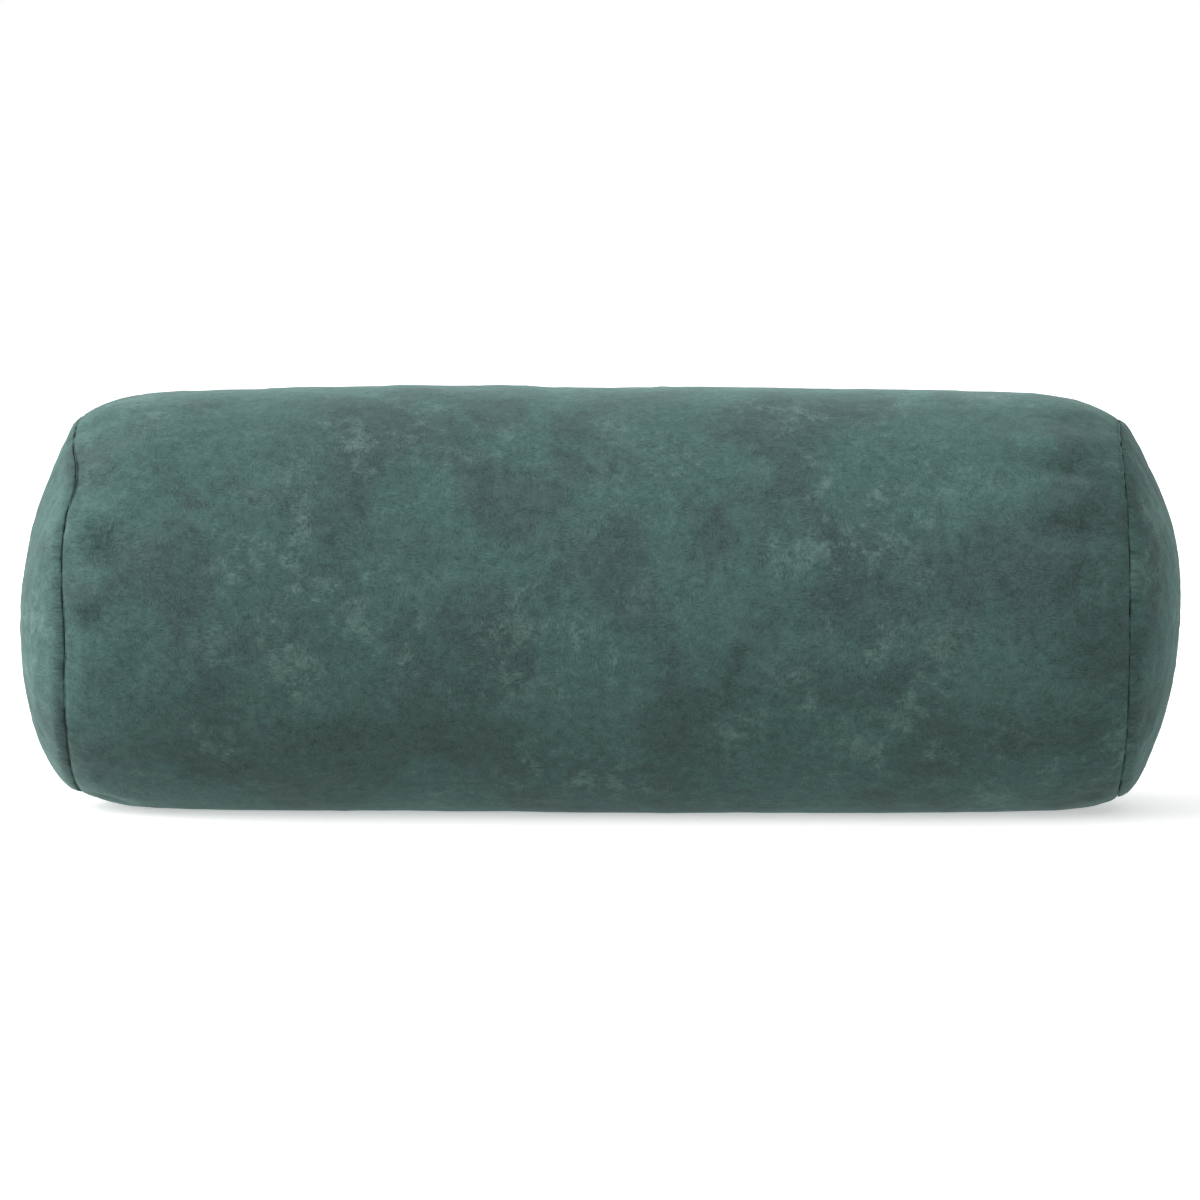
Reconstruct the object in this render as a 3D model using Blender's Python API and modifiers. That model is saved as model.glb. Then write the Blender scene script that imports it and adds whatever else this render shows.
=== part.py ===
"""Bolster pillow: a zipped velvet cover over a fibre-filled inner case.

The cover is a tube with a domed panel sewn to each end. A coil zip runs along its back, in a slot between two
hems. The plain inner case inside it is sewn in the same way and holds the filling.

Frame: +X along the pillow, +Y to the back, +Z up, in metres. The origin is on the resting surface, under the
middle. A layer's "depth" is how far it lies inside the cover's outer face.
"""
import math

import bmesh
import bpy
from mathutils import Matrix, Vector

MM = 0.001
GAP = 0.3 * MM                      # clearance between pieces that touch

# Cover
LENGTH = 600 * MM                   # tip to tip
BODY_RADIUS = 112.5 * MM            # outer radius of the straight part
SEAM_RADIUS = 96.5 * MM             # outer radius at the end seams
SHOULDER = 60 * MM                  # length over which the tube draws in to an end seam
DOME_HEIGHT = 31 * MM               # from an end seam's plane to the tip
DOME_POWER = 1.25                   # 1 is an ellipse; more makes the end panel more pointed
SETTLE = 5.6 * MM                   # how far the underside is pressed flat
VELVET = 1.8 * MM                   # thickness of the velvet and its backing
SEAM_ALLOWANCE = 8 * MM             # width turned inward at an end seam
HEM_WIDTH = 12 * MM                 # from the zip's centre line to the edge of the hem

# Zip
ZIP_MARGIN = 9 * MM                 # from the start of a shoulder to the end of the zip's slot
SLOT_HALF = 4 * MM                  # half the slot between the hems
SLOT_TAPER = 6 * MM                 # length over which the slot closes, at each end
TAPE_THICKNESS = 0.5 * MM
TAPE_WIDTH = 11.5 * MM
TAPE_OVERRUN = 8 * MM               # length of tape beyond the slot
TAPE_EDGE = 1.5 * MM                # from the centre line to a tape's inner edge
TEETH_HEIGHT = 1.8 * MM
TEETH_WIDTH = 1.95 * MM             # one row
STOP_LENGTH = 2.5 * MM
STOP_MARGIN = 1 * MM                # from the slot's end to the bottom stop
STOP_CLEARANCE = 0.5 * MM           # from the closed slider to the top stops
CLOSED_MARGIN = 14 * MM             # from the slot's end to the closed slider's middle
SLIDER_LENGTH = 9 * MM
SLIDER_HALF_WIDTH = 3.2 * MM
SLIDER_PLATE = 1.0 * MM
SLIDER_WALL = 0.7 * MM
SLIDER_OVERLAP = 0.2 * MM           # how far the slider's parts run into each other
POST_START = 1 * MM                 # from the slider's middle
POST_LENGTH = 3 * MM
POST_HALF_WIDTH = 0.8 * MM
CROWN_HALF_WIDTH = 0.7 * MM
CROWN_HEIGHT = 4.2 * MM
CROWN_FOOT = 1.2 * MM
CROWN_ARCH = 1.0 * MM               # metal above the crown's window
CROWN_WINDOW = 2.5 * MM
CROWN_CHAMFER = 0.8 * MM
CROWN_PLAY = 0.4 * MM               # from the pull's crossbar to the arch
PULL_LENGTH = 22 * MM
PULL_WIDTH = 5.2 * MM
PULL_NECK = 4.0 * MM                # its width at the crossbar
PULL_THICKNESS = 1.0 * MM
PULL_EYE = 3.2 * MM                 # length of the hole that the crown stands in
PULL_EYE_HALF = 1.1 * MM

# Threads and label
THREAD_RADIUS = 0.2 * MM
STITCH = 8 * MM                     # along the zip
STITCH_LINE = 7.5 * MM              # from the zip's centre line to its top stitching
SEAM_ZIGZAG = 1.6 * MM              # half the width of the long seam's stitching
SEAM_STITCH = 3 * MM
BAR_TACK_HALF = 5 * MM
BAR_TACK_PASSES = 5
BAR_TACK_PITCH = 0.9 * MM
LABEL_LENGTH = 40 * MM
LABEL_WIDTH = 20 * MM
LABEL_PLACE = -130 * MM             # the label's middle along the pillow

# Inner case and filling
CASE_CLOTH = 0.8 * MM
CASE_INSET = 7 * MM                 # its end seams lie this far inside the cover's
CASE_CLEARANCE = 1.5 * MM           # from the cover's seam allowance to the case's seam
CASE_TIP_GAP = 0.5 * MM
CASE_STITCH_REACH = 1 * MM          # how far its end stitching reaches over each edge
CLOSING_HALF = 80 * MM              # half the hand-closed stretch of its seam
CLOSING_LINE = 11 * MM              # that stretch lies this far above the zip's centre line

# Facets. Every round layer has its corners at the same angles, so that nested layers stay parallel.
SIDES = 36
SIDE = 2 * math.pi / SIDES
ZIP_ANGLE = 10 * SIDE - math.pi / 2  # the zip lies a whole number of sides up from the underside
SHOULDER_STEPS = 5
DOME_STEPS = 6
FOLD_STEPS = 4

# Worked out from the sizes above
AXIS_HEIGHT = BODY_RADIUS - SETTLE
SEAM_X = LENGTH / 2 - DOME_HEIGHT
STRAIGHT_HALF = SEAM_X - SHOULDER
ZIP_HALF = STRAIGHT_HALF - ZIP_MARGIN
ALLOWANCE_RADIUS = SEAM_RADIUS - SEAM_ALLOWANCE
FOLD_RADIUS = (VELVET + GAP) / 2     # middle of the velvet, round the edge of a hem
SLIDER_HALF = SLIDER_LENGTH / 2

# Depths of the zip's layers, outermost first
PLATE_INNER = VELVET                                # underside of the slider's top plate
PLATE_OUTER = PLATE_INNER - SLIDER_PLATE
TEETH_OUTER = PLATE_INNER + GAP
TEETH_INNER = TEETH_OUTER + TEETH_HEIGHT
TAPE_OUTER = max(TEETH_INNER, 2 * VELVET + GAP) + GAP
TAPE_INNER = TAPE_OUTER + TAPE_THICKNESS
BASE_OUTER = TAPE_INNER + GAP                       # the slider's bottom plate
BASE_INNER = BASE_OUTER + SLIDER_PLATE
CASE_AT_ZIP = BASE_INNER + GAP
CROSSBAR_DEPTH = PLATE_OUTER - CROWN_HEIGHT + CROWN_ARCH + CROWN_PLAY + PULL_THICKNESS / 2

# Stations along the zip; it is closed at its +X end
SLIDER_CLOSED = ZIP_HALF - CLOSED_MARGIN
TOP_STOP_X = SLIDER_CLOSED + SLIDER_HALF + STOP_CLEARANCE
BOTTOM_STOP_X = -ZIP_HALF + STOP_MARGIN
TEETH_START = BOTTOM_STOP_X + STOP_LENGTH + GAP
TEETH_END = SLIDER_CLOSED + POST_START - GAP

COLOURS = {  # linear colour, roughness, metallic
    "velvet": ((0.066, 0.117, 0.109), 0.9, 0.0),
    "thread": ((0.055, 0.100, 0.094), 0.6, 0.0),
    "zip_tape": ((0.045, 0.080, 0.076), 0.8, 0.0),
    "zip_coil": ((0.040, 0.072, 0.068), 0.4, 0.0),
    "zip_metal": ((0.42, 0.43, 0.44), 0.3, 1.0),
    "label": ((0.80, 0.79, 0.76), 0.7, 0.0),
    "case_cloth": ((0.78, 0.77, 0.74), 0.9, 0.0),
    "case_thread": ((0.82, 0.81, 0.79), 0.6, 0.0),
    "filling": ((0.88, 0.88, 0.87), 1.0, 0.0),
}


# ---------------------------------------------------------------- scene and helpers

def clear_scene():
    for item in list(bpy.data.objects):
        bpy.data.objects.remove(item, do_unlink=True)


def new_collection(name):
    collection = bpy.data.collections.new(name)
    bpy.context.scene.collection.children.link(collection)
    return collection


def make_material(name):
    colour, roughness, metallic = COLOURS[name]
    material = bpy.data.materials.new(name)
    material.use_nodes = True
    shader = material.node_tree.nodes["Principled BSDF"]
    shader.inputs["Base Color"].default_value = (*colour, 1)
    shader.inputs["Roughness"].default_value = roughness
    shader.inputs["Metallic"].default_value = metallic
    return material


def add_object(name, data, material, parent=None, location=(0, 0, 0)):
    """A named piece in the pillow's collection."""
    piece = bpy.data.objects.new(name, data)
    PILLOW.objects.link(piece)
    data.materials.append(MATERIALS[material])
    piece.parent = parent
    piece.location = location
    return piece


def add_empty(name, location, rotation=(0, 0, 0), parent=None):
    empty = bpy.data.objects.new(name, None)
    empty.empty_display_size = 20 * MM
    empty.location = location
    empty.rotation_euler = rotation
    empty.parent = parent
    PILLOW.objects.link(empty)
    return empty


def mesh_from(shape, name, smooth=True):
    """The finished mesh of a bmesh, smooth but for its sharp edges."""
    bmesh.ops.remove_doubles(shape, verts=shape.verts, dist=0.001 * MM)
    bmesh.ops.recalc_face_normals(shape, faces=shape.faces)
    mesh = bpy.data.meshes.new(name)
    shape.to_mesh(mesh)
    shape.free()
    if smooth:
        mesh.shade_smooth()
        mesh.set_sharp_from_angle(angle=math.radians(35))
    return mesh


def bent_grid(name, rows, columns, point):
    """A grid whose vertex at each row and column moves to point(row, column)."""
    shape = bmesh.new()
    bmesh.ops.create_grid(shape, x_segments=columns - 1, y_segments=rows - 1, size=0.5)
    for vertex in shape.verts:
        column = round((vertex.co.x + 0.5) * (columns - 1))
        row = round((vertex.co.y + 0.5) * (rows - 1))
        vertex.co = point(row, column)
    return mesh_from(shape, name)


def thicken(piece, thickness):
    """Give a surface its thickness, half on each side."""
    solidify = piece.modifiers.new("thickness", "SOLIDIFY")
    solidify.thickness = thickness
    solidify.offset = 0
    solidify.use_even_offset = True


def thread(name, points, material="thread", parent=None, closed=False):
    """A thread that runs straight from point to point."""
    curve = bpy.data.curves.new(name, "CURVE")
    curve.dimensions = "3D"
    curve.bevel_depth = THREAD_RADIUS
    curve.bevel_resolution = 0
    curve.use_fill_caps = not closed
    spline = curve.splines.new("POLY")
    spline.points.add(len(points) - 1)
    for place, point in zip(spline.points, points):
        place.co = (*point, 1)
    spline.use_cyclic_u = closed
    return add_object(name, curve, material, parent)


def block_mesh(name, low, high):
    """A box between two corners."""
    shape = bmesh.new()
    bmesh.ops.create_cube(shape, size=1)
    low, high = Vector(low), Vector(high)
    bmesh.ops.scale(shape, vec=high - low, verts=shape.verts)
    bmesh.ops.translate(shape, vec=(low + high) / 2, verts=shape.verts)
    return mesh_from(shape, name, smooth=False)


def sheet_mesh(name, outlines, thickness, turn=Matrix()):
    """A plate of even thickness cut to closed outlines; the second and later ones are holes."""
    curve = bpy.data.curves.new(name, "CURVE")
    curve.dimensions = "2D"
    curve.fill_mode = "BOTH"
    curve.extrude = thickness / 2
    for outline in outlines:
        spline = curve.splines.new("POLY")
        spline.points.add(len(outline) - 1)
        for place, (x, y) in zip(spline.points, outline):
            place.co = (x, y, 0, 1)
        spline.use_cyclic_u = True
    guide = bpy.data.objects.new(name, curve)
    CUTTERS.objects.link(guide)
    bpy.context.view_layer.update()
    shape = bmesh.new()
    shape.from_mesh(guide.evaluated_get(bpy.context.evaluated_depsgraph_get()).to_mesh())
    bpy.data.objects.remove(guide)
    bmesh.ops.transform(shape, matrix=turn, verts=shape.verts)
    return mesh_from(shape, name, smooth=False)


def unite(piece, meshes):
    """Join more meshes, given in the piece's own space, to the piece."""
    for mesh in meshes:
        tool = bpy.data.objects.new(mesh.name, mesh)
        tool.parent = piece
        tool.hide_render = True
        tool.display_type = "WIRE"
        CUTTERS.objects.link(tool)
        union = piece.modifiers.new(mesh.name, "BOOLEAN")
        union.operation = "UNION"
        union.object = tool


def ring_angle(corner):
    return ZIP_ANGLE + corner * SIDE


def facet_radius(radius, angle):
    """Distance from the axis to the flat side of a round layer with its corners at radius."""
    from_middle = (angle - ZIP_ANGLE) % SIDE - SIDE / 2
    return radius * math.cos(SIDE / 2) / math.cos(from_middle)


def inset(profile, depth):
    """A profile of stations and radii, from the middle to the +X end, moved inward by depth all along."""
    points = [Vector(point) for point in profile]
    steps = [(after - before).normalized() for before, after in zip(points, points[1:])]
    inward = [Vector((step.y, -step.x)) for step in steps]
    last = inward[-1]
    reaches_axis = points[-1].y == 0
    before = [inward[0]] + inward
    after = inward + [Vector((last.x, -last.y)) if reaches_axis else last]
    return [point + depth * (a + b) / (1 + a.dot(b)) for point, a, b in zip(points, before, after)]


def both_ends(half):
    """A profile of the +X half, mirrored to reach the -X end too."""
    return [(-x, radius) for x, radius in reversed(half)] + [(x, radius) for x, radius in half]


def radius_on(profile, station):
    """The radius at a station between two of a profile's points."""
    for (x0, r0), (x1, r1) in zip(profile, profile[1:]):
        if x0 <= station <= x1:
            return r0 + (r1 - r0) * (station - x0) / (x1 - x0)
    raise ValueError(f"no radius at station {station}")


def at_zip(x, radius, up):
    """A point beside the zip's centre line, up the back from it, on the layer at radius."""
    y = radius * math.cos(ZIP_ANGLE) - up * math.sin(ZIP_ANGLE)
    z = radius * math.sin(ZIP_ANGLE) + up * math.cos(ZIP_ANGLE)
    return Vector((x, y, AXIS_HEIGHT + z))


def around(x, radius, angle, floor=0.0):
    """A point of a round layer, which lies flat at height floor where it would sink lower."""
    z = AXIS_HEIGHT + radius * math.sin(angle)
    return Vector((x, radius * math.cos(angle), max(z, floor)))


# ---------------------------------------------------------------- cover

def tube_radius(x):
    """The cover's outer radius: straight in the middle, drawn in towards the end seams."""
    into = max(abs(x) - STRAIGHT_HALF, 0) / SHOULDER
    return BODY_RADIUS - (BODY_RADIUS - SEAM_RADIUS) * into ** 2


def shoulder_stations():
    """Stations from the start of a shoulder to its end seam, closer together where it curves more."""
    return [SEAM_X - SHOULDER * (step / SHOULDER_STEPS) ** 2 for step in range(SHOULDER_STEPS, -1, -1)]


def tube_half():
    """The +X half of the tube's outer profile, as far as the edge of its seam allowance."""
    edge = SEAM_X - GAP / 2
    stations = [0, ZIP_HALF, ZIP_HALF + SLOT_TAPER, *shoulder_stations()[:-1], edge]
    return [(x, tube_radius(x)) for x in stations] + [(edge, ALLOWANCE_RADIUS)]


def tube_layer(depth):
    """Stations and radii of a layer of the tube, from one end's allowance to the other's."""
    half = inset(tube_half(), depth)
    half[-1].y = ALLOWANCE_RADIUS
    return both_ends(half[1:])


def slot_half(x):
    """Half the width of the slot between the hems: open along the zip, closed to a seam beyond it."""
    beyond = min(max(abs(x) - ZIP_HALF, 0) / SLOT_TAPER, 1)
    return SLOT_HALF + (GAP / 2 - SLOT_HALF) * beyond


def add_tube_panel():
    """Columns of points run the length of the pillow, from one hem's edge round to the other's."""
    outer, inner = VELVET / 2, VELVET / 2 + 2 * FOLD_RADIUS
    meridian = {depth: tube_layer(depth) for depth in (outer, inner)}

    def hem_edge(side, depth):
        def point(row):
            x, radius = meridian[depth][row]
            return at_zip(x, radius, side * HEM_WIDTH * radius / BODY_RADIUS)
        return point

    def fold(side, turn):
        def point(row):
            share = (1 + math.sin(turn)) / 2
            ends = zip(meridian[inner][row], meridian[outer][row])
            x, radius = (near + (far - near) * share for near, far in ends)
            reach = slot_half(x) + VELVET / 2 + FOLD_RADIUS * (1 - math.cos(turn))
            return at_zip(x, radius, side * reach)
        return point

    def round_side(corner):
        def point(row):
            x, radius = meridian[outer][row]
            return around(x, radius, ring_angle(corner), floor=outer)
        return point

    turns = [math.pi * step / FOLD_STEPS - math.pi / 2 for step in range(FOLD_STEPS + 1)]
    hems = [
        [hem_edge(side, inner)] + [fold(side, turn) for turn in turns] + [hem_edge(side, outer)]
        for side in (1, -1)
    ]
    columns = hems[0] + [round_side(corner) for corner in range(1, SIDES)] + hems[1][::-1]
    rows = len(meridian[outer])
    mesh = bent_grid("tube_panel", rows, len(columns), lambda row, column: columns[column](row))
    thicken(add_object("tube_panel", mesh, "velvet"), VELVET)


def dome_half(seam_x, seam_radius, tip_x):
    """Stations and radii of a domed panel's outer face, from its seam to its tip."""
    turns = [math.pi / 2 * step / DOME_STEPS for step in range(DOME_STEPS)]
    rise = tip_x - seam_x
    dome = [(seam_x + rise * math.sin(turn) ** DOME_POWER, seam_radius * math.cos(turn)) for turn in turns]
    return dome + [(tip_x, 0)]


def add_dome(name, side, profile, material, thickness):
    """A round panel through a profile, halfway through its own thickness."""
    def point(row, column):
        x, radius = profile[row]
        return around(side * x, radius, ring_angle(column))

    thicken(add_object(name, bent_grid(name, len(profile), SIDES + 1, point), material), thickness)


def add_end_panel(name, side):
    seam_x = SEAM_X + GAP / 2
    allowance = (seam_x + VELVET / 2, ALLOWANCE_RADIUS)
    dome = inset(dome_half(seam_x, SEAM_RADIUS, LENGTH / 2), VELVET / 2)
    dome[0] = Vector((seam_x + VELVET / 2, dome[0].y))
    add_dome(name, side, [allowance, *dome], "velvet", VELVET)


def add_end_seam_stitching(name, side):
    """Overlocking that zigzags under the raw edges of the two seam allowances."""
    radius = ALLOWANCE_RADIUS - GAP - THREAD_RADIUS
    points = []
    for stitch in range(2 * SIDES):
        angle = ring_angle(stitch / 2)
        x = SEAM_X + (VELVET if stitch % 2 else -VELVET)
        points.append(around(side * x, facet_radius(radius, angle), angle))
    thread(name, points, closed=True)


def add_long_seam_stitching(name, side):
    """Stitches across the inside of the pressed-open seam, from the zip to the end seam."""
    layer = inset(tube_half(), TAPE_OUTER + THREAD_RADIUS)
    start, end = STRAIGHT_HALF + SEAM_STITCH, SEAM_X - SEAM_ALLOWANCE
    points = []
    for stitch in range(int((end - start) / SEAM_STITCH) + 1):
        x = start + stitch * SEAM_STITCH
        across = SEAM_ZIGZAG if stitch % 2 else -SEAM_ZIGZAG
        points.append(at_zip(side * x, radius_on(layer, x), across))
    thread(name, points)


# ---------------------------------------------------------------- zip
# The zip's pieces are laid out under an empty on its centre line: x along the zip, y down the back, and z out
# from the cover's outer face, so that a depth is a negative z.

def zip_block(name, material, parent, x, y, depth, location=(0, 0, 0)):
    """A box between two stations, two distances down the back and two depths."""
    mesh = block_mesh(name, (x[0], y[0], -depth[1]), (x[1], y[1], -depth[0]))
    return add_object(name, mesh, material, parent, location)


def add_zip_rows(line):
    """On each side of the centre line: a tape, its row of teeth, its top stop and its top stitching."""
    tape_end = ZIP_HALF + TAPE_OVERRUN
    tape = (TAPE_EDGE, TAPE_EDGE + TAPE_WIDTH)
    teeth = (GAP / 2, GAP / 2 + TEETH_WIDTH)
    for name, side in (("upper", -1), ("lower", 1)):
        along = (-tape_end, tape_end)
        across = sorted(side * y for y in tape)
        zip_block(f"zip_tape_{name}", "zip_tape", line, along, across, (TAPE_OUTER, TAPE_INNER))
        across = sorted(side * y for y in teeth)
        height = (TEETH_OUTER, TAPE_OUTER - GAP)
        zip_block(f"zip_teeth_{name}", "zip_coil", line, (TEETH_START, TEETH_END), across, height)
        across = sorted(side * y for y in (POST_HALF_WIDTH, SLIDER_HALF_WIDTH - SLIDER_WALL))
        along = (TOP_STOP_X, TOP_STOP_X + STOP_LENGTH)
        zip_block(f"zip_top_stop_{name}", "zip_metal", line, along, across, height)
        add_zip_stitching(f"zip_stitching_{name}", side, line)
    across = (-teeth[1], teeth[1])
    along = (BOTTOM_STOP_X, BOTTOM_STOP_X + STOP_LENGTH)
    zip_block("zip_bottom_stop", "zip_metal", line, along, across, height)


def add_zip_stitching(name, side, line):
    """Top stitching on the velvet, along one side of the slot."""
    end = ZIP_HALF + SLOT_TAPER / 2
    count = round(2 * end / STITCH)
    low = GAP + THREAD_RADIUS
    points = []
    for stitch in range(count + 1):
        x = -end + 2 * end * stitch / count
        points.append((x, side * STITCH_LINE, low + (THREAD_RADIUS if stitch % 2 else 0)))
    thread(name, points, parent=line)


def add_bar_tack(name, side, line):
    """Stitches to and fro across the end of the slot."""
    middle = ZIP_HALF + SLOT_TAPER / 2
    start = middle - BAR_TACK_PITCH * BAR_TACK_PASSES / 2
    points = []
    for turn in range(BAR_TACK_PASSES + 1):
        across = BAR_TACK_HALF if turn % 2 else -BAR_TACK_HALF
        points.append((side * (start + turn * BAR_TACK_PITCH), across, GAP + THREAD_RADIUS))
    thread(name, points, parent=line)


def add_slider(line):
    """Two plates joined by a post at the front, side walls round the teeth, and a crown for the pull."""
    length, width, bite = SLIDER_HALF, SLIDER_HALF_WIDTH, SLIDER_OVERLAP
    location = (SLIDER_CLOSED, 0, 0)
    along, across, plate = (-length, length), (-width, width), (PLATE_OUTER, PLATE_INNER)
    slider = zip_block("zip_slider", "zip_metal", line, along, across, plate, location)
    wall_end = TEETH_INNER - GAP
    low, high = -PLATE_INNER + bite, -BASE_OUTER - bite
    base = block_mesh("slider_base", (-length, -width, -BASE_INNER), (length, width, -BASE_OUTER))
    post = block_mesh(
        "slider_post", (POST_START, -POST_HALF_WIDTH, high), (POST_START + POST_LENGTH, POST_HALF_WIDTH, low)
    )
    wall_half, wall_out = length - bite, width - bite / 2
    walls = [
        block_mesh(f"slider_wall_{name}", (-wall_half, near, -wall_end), (wall_half, near + SLIDER_WALL, low))
        for name, near in (("upper", -wall_out), ("lower", wall_out - SLIDER_WALL))
    ]
    half = CROWN_WINDOW / 2
    foot, top, inner_top = half + CROWN_FOOT, CROWN_HEIGHT, CROWN_HEIGHT - CROWN_ARCH
    left = [(-half, inner_top), (-half, -bite), (-foot, -bite), (-foot, top - CROWN_CHAMFER)]
    left.append((CROWN_CHAMFER - foot, top))
    arch = left + [(-x, z) for x, z in reversed(left)]
    upright = Matrix.Translation((0, 0, -PLATE_OUTER)) @ Matrix.Rotation(math.pi / 2, 4, "X")
    crown = sheet_mesh("slider_crown", [arch], 2 * CROWN_HALF_WIDTH, upright)
    unite(slider, [base, post, *walls, crown])


def add_pull_tab(line):
    """The tab lies flat along the closed zip. Its crossbar, in the crown's window, is its hinge."""
    hinge = add_empty("pull_hinge", (SLIDER_CLOSED, 0, -CROSSBAR_DEPTH), parent=line)
    bar = PULL_THICKNESS / 2
    narrow, wide = PULL_NECK / 2, PULL_WIDTH / 2
    end = PULL_LENGTH - wide
    turns = [math.pi * step / 8 - math.pi / 2 for step in range(9)]
    tip = [(-end - wide * math.cos(t), -wide * math.sin(t)) for t in turns]
    outline = [(bar, -narrow), (bar, narrow)] + tip
    eye_end = -bar - PULL_EYE
    eye = [(-bar, -PULL_EYE_HALF), (eye_end, -PULL_EYE_HALF), (eye_end, PULL_EYE_HALF), (-bar, PULL_EYE_HALF)]
    add_object("zip_pull_tab", sheet_mesh("zip_pull_tab", [outline, eye], PULL_THICKNESS), "zip_metal", hinge)


def add_care_label(line):
    """A blank label behind the lower tape, inside the cover."""
    along = (LABEL_PLACE - LABEL_LENGTH / 2, LABEL_PLACE + LABEL_LENGTH / 2)
    across = (SLIDER_HALF_WIDTH + SLIDER_WALL, SLIDER_HALF_WIDTH + SLIDER_WALL + LABEL_WIDTH)
    zip_block("care_label", "label", line, along, across, (TAPE_INNER + GAP, TAPE_INNER + 2 * GAP))


# ---------------------------------------------------------------- inner case and filling

CASE_SEAM_X = SEAM_X - CASE_INSET
CASE_SEAM_RADIUS = ALLOWANCE_RADIUS - CASE_CLEARANCE
CASE_TIP_X = LENGTH / 2 - VELVET - CASE_TIP_GAP


def case_radius(x):
    """The case's outer radius: just inside the cover, but clear of the end seams' allowances."""
    under = VELVET + GAP
    into = max(abs(x) - STRAIGHT_HALF, 0) / (CASE_SEAM_X - STRAIGHT_HALF)
    return tube_radius(x) - under - (tube_radius(CASE_SEAM_X) - under - CASE_SEAM_RADIUS) * into ** 2


def case_tube_half():
    """The +X half of the case's tube: the cover's own stations, then closer ones up to its seam."""
    shared = [x for x in shoulder_stations() if x < CASE_SEAM_X - CASE_INSET]
    stations = [0, *shared, (shared[-1] + CASE_SEAM_X) / 2, CASE_SEAM_X]
    return [(x, case_radius(x)) for x in stations]


def case_point(x, radius, angle, depth):
    """A point of a layer at a depth inside the case, flattened behind the zip and underneath."""
    out = radius * math.cos(angle - ZIP_ANGLE)
    up = radius * math.sin(angle - ZIP_ANGLE)
    point = at_zip(x, min(out, tube_radius(x) - CASE_AT_ZIP - depth), up)
    point.z = max(point.z, VELVET + GAP + depth)
    return point


def add_inner_tube():
    middle = CASE_CLOTH / 2
    layer = both_ends(inset(case_tube_half(), middle)[1:])

    def point(row, column):
        x, radius = layer[row]
        return case_point(x, radius, ring_angle(column), middle)

    mesh = bent_grid("inner_tube", len(layer), SIDES + 1, point)
    thicken(add_object("inner_tube", mesh, "case_cloth"), CASE_CLOTH)


def add_inner_end(name, side):
    outer = dome_half(CASE_SEAM_X + GAP, CASE_SEAM_RADIUS, CASE_TIP_X)
    add_dome(name, side, inset(outer, CASE_CLOTH / 2), "case_cloth", CASE_CLOTH)


def add_inner_end_stitching(name, side):
    """Overlocking round the case's end seam, over both edges."""
    reach = CASE_STITCH_REACH
    lift = GAP + THREAD_RADIUS
    rise = case_radius(CASE_SEAM_X - reach) - CASE_SEAM_RADIUS
    points = []
    for stitch in range(2 * SIDES):
        angle = ring_angle(stitch / 2)
        on_tube = stitch % 2
        x = CASE_SEAM_X + (-reach if on_tube else reach)
        radius = CASE_SEAM_RADIUS + (rise + math.hypot(1, rise / reach) * lift if on_tube else lift)
        points.append(around(side * x, facet_radius(radius, angle), angle))
    thread(name, points, "case_thread", closed=True)


def add_closing_stitches(line):
    """The case's seam is sewn shut here after it is filled."""
    depth = CASE_AT_ZIP - GAP - THREAD_RADIUS
    count = round(2 * CLOSING_HALF / STITCH)
    points = []
    for stitch in range(count + 1):
        x = -CLOSING_HALF + 2 * CLOSING_HALF * stitch / count
        points.append((x, -CLOSING_LINE + (SEAM_ZIGZAG if stitch % 2 else -SEAM_ZIGZAG), -depth))
    thread("inner_closing_stitches", points, "case_thread", parent=line)


def add_filling():
    depth = CASE_CLOTH + GAP
    outer = case_tube_half() + dome_half(CASE_SEAM_X + GAP, CASE_SEAM_RADIUS, CASE_TIP_X)[1:]
    profile = both_ends(inset(outer, depth)[1:])

    def point(row, column):
        x, radius = profile[row]
        return case_point(x, radius, ring_angle(column), depth)

    mesh = bent_grid("fibre_filling", len(profile), SIDES + 1, point)
    add_object("fibre_filling", mesh, "filling")


# ---------------------------------------------------------------- build

clear_scene()
PILLOW = new_collection("bolster_pillow")
CUTTERS = new_collection("cutters")
MATERIALS = {name: make_material(name) for name in COLOURS}
ENDS = (("left", -1), ("right", 1))

add_tube_panel()
zip_line = add_empty("zip_line", at_zip(0, BODY_RADIUS, 0), (ZIP_ANGLE - math.pi / 2, 0, 0))
for end_name, end_side in ENDS:
    add_end_panel(f"end_panel_{end_name}", end_side)
    add_end_seam_stitching(f"end_seam_stitching_{end_name}", end_side)
    add_long_seam_stitching(f"long_seam_stitching_{end_name}", end_side)
    add_bar_tack(f"bar_tack_{end_name}", end_side, zip_line)
    add_inner_end(f"inner_end_{end_name}", end_side)
    add_inner_end_stitching(f"inner_end_stitching_{end_name}", end_side)
add_zip_rows(zip_line)
add_slider(zip_line)
add_pull_tab(zip_line)
add_care_label(zip_line)
add_inner_tube()
add_closing_stitches(zip_line)
add_filling()
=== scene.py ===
"""Looks of the bolster pillow: soft velvet cover, coil zip, inner case and filling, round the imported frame.

Metres, with +X along the pillow, +Y to the back and +Z up. An angle goes round the pillow's axis, from +Y
towards +Z. A layer's depth is how far it lies inside the cover's outer face.
"""
import math

import bmesh
import bpy
import numpy as np
from mathutils import Matrix, Vector
from mathutils.bvhtree import BVHTree


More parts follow.
